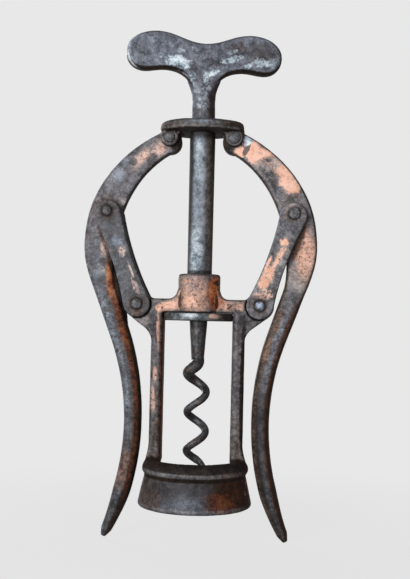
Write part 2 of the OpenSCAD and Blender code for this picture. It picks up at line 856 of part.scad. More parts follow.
frame();
collar();
handle();
shank();
stop_disc();
worm();
lever_left();
lever_right();
link_left_front();
link_left_back();
link_right_front();
link_right_back();
collar_rivet_left();
collar_rivet_right();
elbow_rivet_left();
elbow_rivet_right();
frame_rivet_left();
frame_rivet_right();
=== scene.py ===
import bmesh
import bpy
import math
import numpy
from mathutils import Matrix, Vector


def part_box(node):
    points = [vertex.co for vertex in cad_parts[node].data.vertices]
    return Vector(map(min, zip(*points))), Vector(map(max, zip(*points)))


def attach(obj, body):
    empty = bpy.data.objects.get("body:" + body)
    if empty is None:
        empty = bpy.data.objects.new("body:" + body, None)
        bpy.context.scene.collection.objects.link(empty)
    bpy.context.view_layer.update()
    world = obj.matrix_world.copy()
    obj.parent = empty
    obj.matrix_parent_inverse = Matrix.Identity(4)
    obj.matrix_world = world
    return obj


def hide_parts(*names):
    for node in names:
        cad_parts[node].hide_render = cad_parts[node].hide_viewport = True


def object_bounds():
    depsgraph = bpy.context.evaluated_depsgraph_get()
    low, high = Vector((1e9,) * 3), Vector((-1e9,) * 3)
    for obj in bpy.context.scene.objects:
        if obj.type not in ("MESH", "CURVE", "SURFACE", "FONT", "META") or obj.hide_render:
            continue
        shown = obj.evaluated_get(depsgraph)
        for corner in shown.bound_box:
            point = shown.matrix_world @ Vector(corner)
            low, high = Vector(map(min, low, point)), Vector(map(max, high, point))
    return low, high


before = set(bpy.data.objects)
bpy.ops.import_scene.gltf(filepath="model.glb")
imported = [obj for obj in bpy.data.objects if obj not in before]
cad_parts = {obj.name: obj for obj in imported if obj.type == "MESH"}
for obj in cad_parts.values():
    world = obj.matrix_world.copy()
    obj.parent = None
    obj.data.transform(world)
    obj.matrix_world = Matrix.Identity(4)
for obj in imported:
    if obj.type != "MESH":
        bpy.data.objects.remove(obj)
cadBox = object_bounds()
scene = bpy.context.scene
scene.view_settings.view_transform = "Standard"
mm = 0.001
print("frame loaded with", len(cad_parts), "nodes")


# camera at the photograph's place, for an image 579 pixels high
cameraLook = {
    "azimuth": 3.34, "elevation": -1.66, "roll": 1.32,  # degrees
    "distance": 353.7 * mm, "target": (2.13 * mm, 0, 69.9 * mm),
    "focalPixels": 961, "imageHeight": 579, "sensor": 36, "clipStart": 10 * mm,
}


def makeCamera(look):
    azimuth, elevation, roll = (
        math.radians(look[key]) for key in ("azimuth", "elevation", "roll"))
    level = math.cos(elevation)
    ahead = Vector((-math.sin(azimuth) * level, math.cos(azimuth) * level, -math.sin(elevation)))
    across = Vector((math.cos(azimuth), math.sin(azimuth), 0))
    above = across.cross(ahead)
    rolledAcross = across * math.cos(roll) + above * math.sin(roll)
    rolledAbove = above * math.cos(roll) - across * math.sin(roll)
    data = bpy.data.cameras.new("camera")
    data.sensor_width = look["sensor"]
    data.lens = look["focalPixels"] / look["imageHeight"] * look["sensor"]
    data.clip_start = look["clipStart"]
    camera = bpy.data.objects.new("camera", data)
    place = Matrix((rolledAcross, rolledAbove, -ahead)).transposed().to_4x4()
    place.translation = Vector(look["target"]) - ahead * look["distance"]
    camera.matrix_world = place
    scene.collection.objects.link(camera)
    scene.camera = camera


makeCamera(cameraLook)
print("camera placed")


# small helpers for node trees
def colour(red, green, blue):
    def linear(v):
        v /= 255
        return v / 12.92 if v <= 0.04045 else ((v + 0.055) / 1.055) ** 2.4
    return (linear(red), linear(green), linear(blue), 1)


def plug(tree, given, socket):
    if isinstance(given, bpy.types.NodeSocket):
        tree.links.new(given, socket)
    else:
        socket.default_value = given


def addNode(tree, kind, given=None, **settings):
    made = tree.nodes.new(kind)
    for key, setting in settings.items():
        setattr(made, key, setting)
    for key, source in (given or {}).items():
        plug(tree, source, made.inputs[key])
    return made


def outOf(tree, kind, given=None, **settings):
    return addNode(tree, kind, given, **settings).outputs[0]


def calc(tree, operation, first, second=0.0, third=0.0):
    made = addNode(tree, "ShaderNodeMath", {0: first, 1: second, 2: third}, operation=operation)
    return made.outputs[0]


def vectorCalc(tree, operation, first, second=(0, 0, 0), output="Vector"):
    made = addNode(tree, "ShaderNodeVectorMath", {0: first, 1: second}, operation=operation)
    return made.outputs[output]


def scaled(tree, vector, factor):
    made = addNode(tree, "ShaderNodeVectorMath", {0: vector, "Scale": factor}, operation="SCALE")
    return made.outputs["Vector"]


def remap(tree, value, low, high, start=0.0, end=1.0, smooth=True):
    made = addNode(tree, "ShaderNodeMapRange", {0: value, 1: low, 2: high, 3: start, 4: end})
    made.interpolation_type = "SMOOTHSTEP" if smooth else "LINEAR"
    return made.outputs[0]


def mixColour(tree, mask, under, over):
    made = addNode(tree, "ShaderNodeMix", data_type="RGBA")
    for index, source in ((0, mask), (6, under), (7, over)):
        plug(tree, source, made.inputs[index])
    return made.outputs[2]


def mixValue(tree, mask, under, over):
    made = addNode(tree, "ShaderNodeMix", {0: mask, 2: under, 3: over}, data_type="FLOAT")
    return made.outputs[0]


def cloud(tree, place, scale, detail=3.0, roughness=0.6):
    given = {"Vector": place, "Scale": scale, "Detail": detail, "Roughness": roughness}
    return addNode(tree, "ShaderNodeTexNoise", given).outputs["Fac"]


def makeGroup(name, kind, ins, outs):
    tree = bpy.data.node_groups.new(name, kind)
    for way, sockets in (("INPUT", ins), ("OUTPUT", outs)):
        for title, sort in sockets:
            tree.interface.new_socket(name=title, in_out=way, socket_type="NodeSocket" + sort)
    start = tree.nodes.new("NodeGroupInput").outputs
    end = tree.nodes.new("NodeGroupOutput").inputs
    return tree, start, end


def endTree(tree, geometry, finish, end):
    smooth = outOf(tree, "GeometryNodeSetShadeSmooth", {"Geometry": geometry})
    plain = outOf(tree, "GeometryNodeRealizeInstances", {"Geometry": smooth})
    done = outOf(tree, "GeometryNodeSetMaterial", {"Geometry": plain, "Material": finish})
    plug(tree, done, end["Geometry"])


def useGroup(tree, group, given):
    made = tree.nodes.new("ShaderNodeGroup")
    made.node_tree = group
    for key, source in given.items():
        plug(tree, source, made.inputs[key])
    return made.outputs


# shader groups that the finishes share; Place is in millimetres
noiseMiddle = 0.5
toneNoise = {"broad": (0.2, 4), "spots": (0.6, 3), "specks": (1.8, 2)}  # scale and detail
toneShares = {"broad": 0.33, "spots": 0.4, "specks": 0.27}
heightShares = {"spots": 0.4, "specks": 0.6}
toneSteps = (0.42, 0.50, 0.58)  # where the dark, middle and light tones are full
raggedNoise = ((0.3, 2, 0.6), (1.0, 4, 0.7))  # scale, detail and roughness
raggedReach = 2.4
fleckNoise = {"detail": 4, "roughness": 0.65, "edge": 0.06}
rubNoise = {"scale": 0.5, "detail": 4, "roughness": 0.7, "low": 0.3, "high": 0.6}
rubRise = 2.5  # times the onset, where an edge is rubbed through


def sumOf(tree, noises, shares):
    total = 0.0
    for name, share in shares.items():
        total = calc(tree, "MULTIPLY_ADD", noises[name], share, total)
    return total


def makeWeatheredTone():
    ins = [
        ("Place", "Vector"), ("Dark", "Color"), ("Middle", "Color"), ("Light", "Color"), ("Grain", "Float"),
    ]
    outs = [("Color", "Color"), ("Height", "Float"), ("Tone", "Float")]
    tree, start, end = makeGroup("weatheredTone", "ShaderNodeTree", ins, outs)
    place = scaled(tree, start["Place"], start["Grain"])
    noises = {name: cloud(tree, place, *noise) for name, noise in toneNoise.items()}
    tone = sumOf(tree, noises, toneShares)
    dark, middle, light = toneSteps
    darker = mixColour(tree, remap(tree, tone, dark, middle), start["Dark"], start["Middle"])
    plug(tree, mixColour(tree, remap(tree, tone, middle, light), darker, start["Light"]), end["Color"])
    plug(tree, sumOf(tree, noises, heightShares), end["Height"])
    plug(tree, tone, end["Tone"])
    return tree


def makeRaggedness():
    ins, outs = [("Place", "Vector")], [("Wander", "Float")]
    tree, start, end = makeGroup("raggedness", "ShaderNodeTree", ins, outs)
    wander = 0.0
    for noise in raggedNoise:
        swing = calc(tree, "SUBTRACT", cloud(tree, start["Place"], *noise), noiseMiddle)
        wander = calc(tree, "MULTIPLY_ADD", swing, raggedReach, wander)
    plug(tree, wander, end["Wander"])
    return tree


def makeWornPatch():
    ins = [
        ("Place", "Vector"), ("Wander", "Float"), ("Middle", "Vector"), ("Reach", "Vector"),
        ("Turn", "Float"), ("Ragged", "Float"), ("Soft", "Float"),
    ]
    tree, start, end = makeGroup("wornPatch", "ShaderNodeTree", ins, [("Mask", "Float")])
    offset = vectorCalc(tree, "SUBTRACT", start["Place"], start["Middle"])
    given = {"Vector": offset, "Angle": start["Turn"]}
    turned = addNode(tree, "ShaderNodeVectorRotate", given, rotation_type="Y_AXIS").outputs["Vector"]
    shares = vectorCalc(tree, "MULTIPLY", vectorCalc(tree, "DIVIDE", turned, start["Reach"]), (1, 0, 1))
    distance = vectorCalc(tree, "LENGTH", shares, output="Value")
    ragged = calc(tree, "MULTIPLY_ADD", start["Wander"], start["Ragged"], distance)
    outside = calc(tree, "ADD", 1.0, start["Soft"])
    plug(tree, remap(tree, ragged, outside, calc(tree, "SUBTRACT", 1.0, start["Soft"])), end["Mask"])
    return tree


def makeFlecks():
    ins = [("Place", "Vector"), ("Size", "Float"), ("Cover", "Float")]
    tree, start, end = makeGroup("flecks", "ShaderNodeTree", ins, [("Mask", "Float")])
    scale = calc(tree, "DIVIDE", 1.0, start["Size"])
    noise = cloud(tree, start["Place"], scale, fleckNoise["detail"], fleckNoise["roughness"])
    full = calc(tree, "ADD", start["Cover"], fleckNoise["edge"])
    plug(tree, remap(tree, noise, start["Cover"], full), end["Mask"])
    return tree


# mask by which way the surface faces; the finishes use it to paint shade and highlights on sides
def makeFacing():
    ins = [("Normal", "Vector"), ("Towards", "Vector"), ("Start", "Float"), ("Full", "Float")]
    tree, start, end = makeGroup("facing", "ShaderNodeTree", ins, [("Mask", "Float")])
    share = vectorCalc(tree, "DOT_PRODUCT", start["Normal"], start["Towards"], "Value")
    plug(tree, remap(tree, share, start["Start"], start["Full"]), end["Mask"])
    return tree


def makeRubbedEdge():
    ins = [("Place", "Vector"), ("Onset", "Float")]
    outs = [("Edge", "Float"), ("Hollow", "Float")]
    tree, start, end = makeGroup("rubbedEdge", "ShaderNodeTree", ins, outs)
    rub = addNode(tree, "ShaderNodeAttribute", attribute_name="rub").outputs["Fac"]
    noise = cloud(tree, start["Place"], *(rubNoise[key] for key in ("scale", "detail", "roughness")))
    broken = remap(tree, noise, rubNoise["low"], rubNoise["high"])
    rise = calc(tree, "MULTIPLY", start["Onset"], rubRise)
    plug(tree, calc(tree, "MULTIPLY", remap(tree, rub, start["Onset"], rise), broken), end["Edge"])
    fall = calc(tree, "MULTIPLY", start["Onset"], -1.0)
    plug(tree, remap(tree, rub, fall, calc(tree, "MULTIPLY", rise, -1.0)), end["Hollow"])
    return tree


weatheredTone = makeWeatheredTone()
raggedness = makeRaggedness()
wornPatch = makeWornPatch()
flecks = makeFlecks()
facing = makeFacing()
rubbedEdge = makeRubbedEdge()
print("shared shader groups built")


# finishes that lie over or under the patina: three tones each, dark to light; some also serve as painted
# shade and painted highlights
def metal(metallic, roughness, *tones):
    return {"tones": tones, "metallic": metallic, "roughness": roughness}


finishes = {
    "copper": metal(0.15, 0.5, (218, 164, 140), (236, 186, 163), (243, 199, 180)),
    "paleCopper": metal(0.15, 0.55, (132, 118, 114), (182, 161, 153), (210, 188, 178)),
    "oldCopper": metal(0.15, 0.55, (78, 58, 50), (176, 141, 126), (214, 172, 152)),
    # bright plating, and painted highlights on the shank, the stop disc and the handle's left edges
    "platingAndHighlight": metal(0.25, 0.4, (112, 126, 138), (190, 205, 214), (230, 238, 242)),
    "paleGrey": metal(0.1, 0.55, (108, 101, 99), (160, 149, 144), (188, 178, 172)),
    "grey": metal(0.15, 0.55, (84, 82, 86), (124, 120, 122), (152, 147, 146)),
    "slate": metal(0.1, 0.6, (44, 43, 46), (68, 67, 71), (92, 91, 95)),
    "orange": metal(0.0, 0.7, (92, 52, 30), (146, 102, 78), (178, 134, 106)),
    "rust": metal(0.0, 0.75, (56, 27, 14), (112, 60, 34), (152, 90, 56)),
    # reddish dark: rust, and warm painted shade on right-hand sides and beside the links
    "deepRustAndShade": metal(0.0, 0.65, (40, 17, 6), (70, 34, 14), (104, 60, 36)),
    "ember": metal(0.0, 0.7, (104, 54, 28), (166, 94, 56), (204, 132, 92)),
    "iron": metal(0.12, 0.48, (36, 35, 37), (54, 53, 56), (76, 76, 80)),
    "bellIron": metal(0.12, 0.5, (50, 49, 50), (64, 63, 65), (80, 79, 82)),
    "brown": metal(0.1, 0.65, (46, 36, 30), (76, 62, 54), (104, 90, 80)),
    # near black: dirt in hollows, and painted shade on sides, tops, undersides and beside parts
    "shadeAndGrime": metal(0.0, 0.85, (14, 9, 6), (28, 20, 15), (44, 33, 26)),
    # bluish steel, and painted highlights on left edges and along the rods
    "blueSteelAndHighlight": metal(0.25, 0.42, (98, 106, 120), (134, 144, 158), (174, 188, 204)),
}
sides = {
    "Front": (0, -1, 0), "Back": (0, 1, 0), "Left": (-1, 0, 0), "Right": (1, 0, 0),
    "Top": (0, 0, 1), "Under": (0, 0, -1),
}
plainTurn = (0.25, 0.7)  # share of the normal at which a side's layer starts and is full
plainSoft = 0.2


# one finish over the patina, which for some layers is painted shade and for some painted highlight; a patch
# is x, z, its reach along both, its turn and how ragged it is
def coat(finish, *patches, **settings):
    return {"finish": finish, **({"patches": patches} if patches else {}), **settings}


def frontCoat(finish, *patches, **settings):
    return coat(finish, *patches, side="Front", **settings)


# a finish on one side; the dark ones on unlit sides are painted shade
def sideCoat(finish, side, amount, turn=plainTurn):
    return coat(finish, side=side, amount=amount, turn=turn)


def toneOf(tree, place, tones, grain):
    dark, middle, light = (colour(*tone) for tone in tones)
    given = {"Place": place, "Dark": dark, "Middle": middle, "Light": light, "Grain": grain}
    return useGroup(tree, weatheredTone, given)


def patchMask(tree, place, wander, layer):
    mask = 0.0
    for x, z, reachX, reachZ, turn, ragged in layer["patches"]:
        given = {
            "Place": place, "Wander": wander, "Middle": (x, 0, z), "Reach": (reachX, 1, reachZ),
            "Turn": math.radians(turn), "Ragged": ragged, "Soft": layer.get("soft", plainSoft),
        }
        found = useGroup(tree, wornPatch, given)["Mask"]
        mask = found if mask == 0.0 else calc(tree, "MAXIMUM", mask, found)
    return mask


def fleckMask(tree, place, size, cover):
    return useGroup(tree, flecks, {"Place": place, "Size": size, "Cover": cover})["Mask"]


# a worn metal: mottled patina with layers of other finishes in patches, on one side, on edges or scattered;
# most layers on one side are painted shade, and some on left edges painted highlights
def makeFinish(look):
    material = bpy.data.materials.new(look["name"])
    material.use_nodes = True
    tree = material.node_tree
    tree.nodes.clear()
    coordinates = addNode(tree, "ShaderNodeTexCoord").outputs
    place = scaled(tree, coordinates["Object"], 1 / mm)
    moved = vectorCalc(tree, "ADD", place, (look["shift"], look["shift"] / 2, -look["shift"]))
    wander = useGroup(tree, raggedness, {"Place": moved})["Wander"]
    edges = useGroup(tree, rubbedEdge, {"Place": moved, "Onset": look["rubOnset"]})
    base = toneOf(tree, moved, look["tones"], look["grain"])
    surface, metallic, roughness = base["Color"], look["metallic"], look["roughness"]
    for layer in look["layers"]:
        upper = finishes[layer["finish"]]
        mask = layer.get("amount", 1.0)
        if "patches" in layer:
            mask = calc(tree, "MULTIPLY", patchMask(tree, place, wander, layer), mask)
        if "scatter" in layer:
            mask = calc(tree, "MULTIPLY", fleckMask(tree, moved, *layer["scatter"]), mask)
        if "flecked" in layer:
            holes = fleckMask(tree, moved, *layer["flecked"])
            mask = calc(tree, "MULTIPLY", calc(tree, "SUBTRACT", 1.0, holes), mask)
        if "on" in layer:
            mask = calc(tree, "MULTIPLY", edges[layer["on"]], mask)
        if "across" in layer:
            across = addNode(tree, "ShaderNodeAttribute", attribute_name="across").outputs["Fac"]
            mask = calc(tree, "MULTIPLY", remap(tree, across, *layer["across"]), mask)
        # layers by facing: painted shade on unlit sides, painted highlights on lit edges
        if "side" in layer:
            first, full = layer.get("turn", plainTurn)
            towards = sides[layer["side"]]
            given = {"Normal": coordinates["Normal"], "Towards": towards, "Start": first, "Full": full}
            mask = calc(tree, "MULTIPLY", useGroup(tree, facing, given)["Mask"], mask)
        over = toneOf(tree, moved, upper["tones"], layer.get("grain", look["grain"]))
        surface = mixColour(tree, mask, surface, over["Color"])
        metallic = mixValue(tree, mask, metallic, upper["metallic"])
        roughness = mixValue(tree, mask, roughness, upper["roughness"])
    swing = calc(tree, "SUBTRACT", base["Tone"], noiseMiddle)
    uneven = calc(tree, "MULTIPLY_ADD", swing, look["sheenBreak"], roughness)
    given = {"Height": base["Height"], "Strength": look["bump"], "Distance": look["bumpDepth"] * mm}
    bumped = addNode(tree, "ShaderNodeBump", given).outputs["Normal"]
    given = {
        "Base Color": surface, "Metallic": metallic, "Roughness": uneven, "Normal": bumped,
        "Specular IOR Level": look["specular"],
    }
    shader = addNode(tree, "ShaderNodeBsdfPrincipled", given).outputs["BSDF"]
    addNode(tree, "ShaderNodeOutputMaterial", {"Surface": shader})
    return material


skinDetail = 2


# geometry tree that gives a copied solid its hand-worked skin and stores where its edges rub
def makeWorkedSkin():
    ins = [
        ("Geometry", "Geometry"), ("Rub Steps", "Int"), ("Wave Depth", "Float"), ("Wave Size", "Float"),
        ("Grain Depth", "Float"), ("Grain Size", "Float"), ("Swell", "Vector"), ("Seed", "Float"),
        ("Finish", "Material"),
    ]
    tree, start, end = makeGroup("workedSkin", "GeometryNodeTree", ins, [("Geometry", "Geometry")])
    position = outOf(tree, "GeometryNodeInputPosition")
    normal = outOf(tree, "GeometryNodeInputNormal")
    blur = addNode(tree, "GeometryNodeBlurAttribute", data_type="FLOAT_VECTOR")
    plug(tree, position, next(s for s in blur.inputs if s.enabled and s.name == "Value"))
    plug(tree, start["Rub Steps"], blur.inputs["Iterations"])
    blurred = next(s for s in blur.outputs if s.enabled)
    stand = vectorCalc(tree, "SUBTRACT", position, blurred)
    rise = vectorCalc(tree, "DOT_PRODUCT", normal, stand, "Value")
    store = addNode(tree, "GeometryNodeStoreNamedAttribute", data_type="FLOAT", domain="POINT")
    plug(tree, start["Geometry"], store.inputs["Geometry"])
    store.inputs["Name"].default_value = "rub"
    stored = next(s for s in store.inputs if s.enabled and s.name == "Value")
    plug(tree, calc(tree, "DIVIDE", rise, mm), stored)
    place = scaled(tree, position, 1 / mm)
    shifted = vectorCalc(tree, "ADD", place, start["Seed"])
    lift = 0.0
    for kind in ("Wave", "Grain"):
        scale = calc(tree, "DIVIDE", 1.0, start[kind + " Size"])
        swing = calc(tree, "SUBTRACT", cloud(tree, shifted, scale, skinDetail), noiseMiddle)
        lift = calc(tree, "MULTIPLY_ADD", swing, start[kind + " Depth"], lift)
    spread = vectorCalc(tree, "MULTIPLY", normal, start["Swell"])
    offset = scaled(tree, vectorCalc(tree, "ADD", spread, scaled(tree, normal, lift)), mm)
    moved = outOf(tree, "GeometryNodeSetPosition", {"Geometry": store.outputs[0], "Offset": offset})
    endTree(tree, moved, start["Finish"], end)
    return tree


def giveTree(piece, tree, values):
    modifier = piece.modifiers.new(tree.name, "NODES")
    modifier.node_group = tree
    for item in tree.interface.items_tree:
        if item.in_out == "INPUT" and item.name in values:
            modifier[item.identifier] = values[item.name]


def newPiece(name, mesh):
    piece = bpy.data.objects.new(name, mesh)
    scene.collection.objects.link(piece)
    return piece


# turns a piece with its modifiers into a plain mesh
def settle(piece):
    bpy.context.view_layer.update()
    ready = piece.evaluated_get(bpy.context.evaluated_depsgraph_get())
    mesh = bpy.data.meshes.new_from_object(ready)
    piece.modifiers.clear()
    piece.data = mesh
    mesh.name = piece.name


def handOver(piece, body, slot, *nodes):
    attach(piece, body)
    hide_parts(*nodes)


workedSkin = makeWorkedSkin()
mergeReach = 0.001 * mm
smoothFactor = 0.5


# remeshes and wears a piece: sharp edges go round and the flats lose their trueness
def wearPiece(piece, finish, work):
    remesh = piece.modifiers.new("remesh", "REMESH")
    remesh.mode = "VOXEL"
    remesh.voxel_size = work["voxel"] * mm
    smooth = piece.modifiers.new("smooth", "SMOOTH")
    smooth.factor = smoothFactor
    smooth.iterations = work["smooth"]
    giveTree(piece, workedSkin, {
        "Rub Steps": work["rubSteps"], "Wave Depth": work["wave"][0], "Wave Size": work["wave"][1],
        "Grain Depth": work["grain"][0], "Grain Size": work["grain"][1], "Swell": work["swell"],
        "Seed": work["seed"], "Finish": finish,
    })
    settle(piece)
    print(piece.name, "dressed with", len(piece.data.polygons), "faces")


# a worn copy of a solid
def dressNode(node, name, finish, work, filler=None):
    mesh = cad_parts[node].data.copy()
    mesh.materials.clear()
    shape = bmesh.new()
    shape.from_mesh(mesh)
    bmesh.ops.remove_doubles(shape, verts=shape.verts, dist=mergeReach)
    if filler:
        filler(shape)
    shape.to_mesh(mesh)
    shape.free()
    extras = [item.name for item in mesh.attributes if item.name.startswith(("custom", "sharp"))]
    for extra in extras:
        mesh.attributes.remove(mesh.attributes[extra])
    piece = newPiece(name, mesh)
    wearPiece(piece, finish, work)
    return piece


# pivots, from the rivets of the frame
def middleOf(node):
    low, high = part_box(node)
    return (low + high) / 2


elbowRight = middleOf("elbow_rivet_right")
collarPivotRight = middleOf("collar_rivet_right")
framePivotRight = middleOf("frame_rivet_right")


# round patches about given points: stains round the rivets, and on the levers painted shadow round the links'
# ends
def ringStainsAndShadows(points, reach, ragged):
    return [(p.x / mm, p.z / mm, reach, reach, 0, ragged) for p in points]


def mirrored(point):
    return Vector((-point.x, point.y, point.z))


# cast frame: bell, columns, bridge and boss
castingLook = {
    "name": "castingPatinaShadeAndHighlight", "shift": 11.0, "grain": 1.0, "rubOnset": 0.05,
    "tones": ((48, 45, 47), (74, 71, 73), (102, 98, 99)),
    "metallic": 0.12, "roughness": 0.5, "sheenBreak": 1.2, "specular": 0.12, "bump": 0.4, "bumpDepth": 0.1,
    "layers": [
        coat("oldCopper", side="Back", scatter=(9, 0.58), amount=0.8),
        coat("bellIron", (0, -6, 40, 14.5, 0, 0.05), soft=0.1, amount=0.9),
        frontCoat("slate", (15.2, 34, 2.8, 27, 0, 0.2), soft=0.4, amount=0.85),
        frontCoat(
            "brown", (-15.3, 17.9, 2.4, 6.5, 0, 0.5), (-16.1, 9.0, 2.4, 2.4, 0, 0.4),
            (14.8, 15.1, 2.4, 10.0, 0, 0.6), (15.4, 9.0, 2.6, 2.4, 0, 0.4), (-15.2, -5.4, 4.4, 5.1, 0, 0.4),
            soft=0.5, amount=0.6),
        frontCoat("paleGrey", (-19.5, 58.1, 1.8, 1.6, 0, 0.6), soft=0.4, amount=0.5),
        frontCoat(
            "oldCopper", (-2.5, 69.1, 6.6, 6.6, 0, 0.25), (-8.0, 64.4, 3.4, 2.6, 0, 0.4),
            (-0.2, 63.4, 6.0, 2.6, 0, 0.3), (8.6, 64.2, 4.6, 2.8, 0, 0.4), (15.2, 64.0, 1.6, 1.7, 0, 0.6),
            grain=1.6, soft=0.35),
        frontCoat("grey", (-2.0, 72.0, 6.4, 3.4, 0, 0.6), soft=0.5, amount=0.55, flecked=(1.6, 0.5)),
        frontCoat(
            "copper", (-11.2, 63.2, 4.0, 1.9, 8, 0.4), (-3.6, 65.2, 2.6, 1.8, 0, 0.8), soft=0.3, amount=0.85,
            flecked=(1.2, 0.56)),
        frontCoat(
            "copper", (-14.4, 54.5, 0.6, 6.6, 2, 0.4), (-15.2, 38.8, 0.7, 2.4, 3, 0.5),
            (-15.9, 30.0, 0.9, 4.8, 4, 0.5), soft=0.35, amount=0.75, flecked=(1.6, 0.54)),
        frontCoat("blueSteelAndHighlight", (-1.3, -6.8, 9.0, 4.0, 0, 0.6), soft=0.5, amount=0.3),
        # painted shade on the right-facing sides, the deeper one reddish
        coat("shadeAndGrime", (0, 24, 40, 36.5, 0, 0.05), side="Right", turn=(0.12, 0.55), amount=0.85),
        sideCoat("shadeAndGrime", "Right", 0.8, (0.45, 0.9)),
        sideCoat("deepRustAndShade", "Right", 0.5, (0.3, 0.7)),
        coat("ember", (6.4, 69.0, 2.8, 6.0, 0, 0.25), soft=0.3, amount=0.9, flecked=(2.4, 0.56)),
        frontCoat("rust", (9.4, -4.8, 4.2, 3.2, 0, 0.6), soft=0.6, amount=0.65),
        # painted shade along the left edges
        sideCoat("brown", "Left", 0.5, (0.6, 0.95)),
        # painted shade on tops and undersides
        sideCoat("shadeAndGrime", "Top", 0.9, (0.1, 0.5)),
        sideCoat("shadeAndGrime", "Under", 0.8, (0.2, 0.7)),
        coat("shadeAndGrime", on="Hollow", amount=0.85),
        coat(
            "oldCopper", (20, -8, 8, 10, 0, 0.2), side="Right", turn=(0.85, 0.99), scatter=(5, 0.56),
            amount=0.7),
        frontCoat("grey", on="Edge", amount=0.5),
        # painted shade on the bead's upper slope, in the groove under it and on the right column's right edge
        coat(
            "shadeAndGrime", (0, 6.8, 40, 2.0, 0, 0.03), (0, 2.5, 40, 0.7, 0, 0.05), (16.9, 34, 1.2, 25, 0, 0.1),
            soft=0.2, amount=0.85),
        # reddish painted shade on the left column's right edge
        coat("deepRustAndShade", (-12.9, 34, 1.0, 26, 0, 0.1), soft=0.4, amount=0.6),
        # painted highlight along the bead's lower edge
        frontCoat("grey", (-5, 4.3, 13, 0.45, 0, 0.2), soft=0.5, amount=0.35),
    ],
}
columnSize = {"inner": 12.6, "outer": 17.1, "front": -2.6, "back": 3.4, "foot": 7.0, "head": 60.0}  # mm


# the columns swell behind their front edges
def fillColumns(shape):
    size = columnSize
    for side in (-1, 1):
        middle = (
            side * (size["inner"] + size["outer"]), size["front"] + size["back"], size["foot"] + size["head"])
        reach = (size["outer"] - size["inner"], size["back"] - size["front"], size["head"] - size["foot"])
        spread = Matrix.Diagonal([v * mm for v in reach]).to_4x4()
        place = Matrix.Translation([v / 2 * mm for v in middle]) @ spread
        bmesh.ops.create_cube(shape, size=1.0, matrix=place)


castingWork = {
    "voxel": 0.42, "smooth": 6, "rubSteps": 14, "wave": (0.16, 7.0), "grain": (0.05, 1.2),
    "swell": (0.04, 0.04, 0.04), "seed": 3.0,
}
casting = dressNode("frame", "castFrame", makeFinish(castingLook), castingWork, fillColumns)
handOver(casting, "frame", "casting", "frame")


# collar plate with its ears
collarPivots = (collarPivotRight, mirrored(collarPivotRight))
collarLook = {
    "name": "collarPatinaAndShade", "shift": 23.0, "grain": 1.1, "rubOnset": 0.05,
    "tones": ((58, 52, 49), (84, 79, 78), (108, 104, 104)),
    "metallic": 0.12, "roughness": 0.5, "sheenBreak": 1.2, "specular": 0.15, "bump": 0.45, "bumpDepth": 0.12,
    "layers": [
        frontCoat("blueSteelAndHighlight", (0.2, 131.2, 6.0, 1.8, 0, 0.6), soft=0.5, amount=0.6),
        frontCoat("deepRustAndShade", (13.6, 130.0, 4.2, 4.0, 0, 0.3), soft=0.4, amount=0.75),
        frontCoat("brown", *ringStainsAndShadows(collarPivots, 4.4, 0.4), soft=0.3, amount=0.7),
        frontCoat("grey", *ringStainsAndShadows(collarPivots, 2.95, 0.25), soft=0.2, amount=0.3),
        frontCoat("shadeAndGrime", *ringStainsAndShadows(collarPivots, 2.35, 0.25), soft=0.2, amount=0.9),
        # painted shade on the right side, left edges, top and underside
        sideCoat("shadeAndGrime", "Right", 0.8, (0.15, 0.6)),
        sideCoat("brown", "Left", 0.6, (0.4, 0.9)),
        sideCoat("shadeAndGrime", "Top", 0.6, (0.3, 0.8)),
        sideCoat("shadeAndGrime", "Under", 0.95, (0.1, 0.5)),
        coat("shadeAndGrime", on="Hollow", amount=0.85),
        frontCoat("grey", on="Edge", amount=0.5),
    ],
}
collarWork = {
    "voxel": 0.26, "smooth": 6, "rubSteps": 16, "wave": (0.3, 5.0), "grain": (0.06, 1.2),
    "swell": (0.04, 0.04, 0.04), "seed": 17.0,
}
collar = dressNode("collar", "collarPlate", makeFinish(collarLook), collarWork)
handOver(collar, "collar", "collar", "collar")


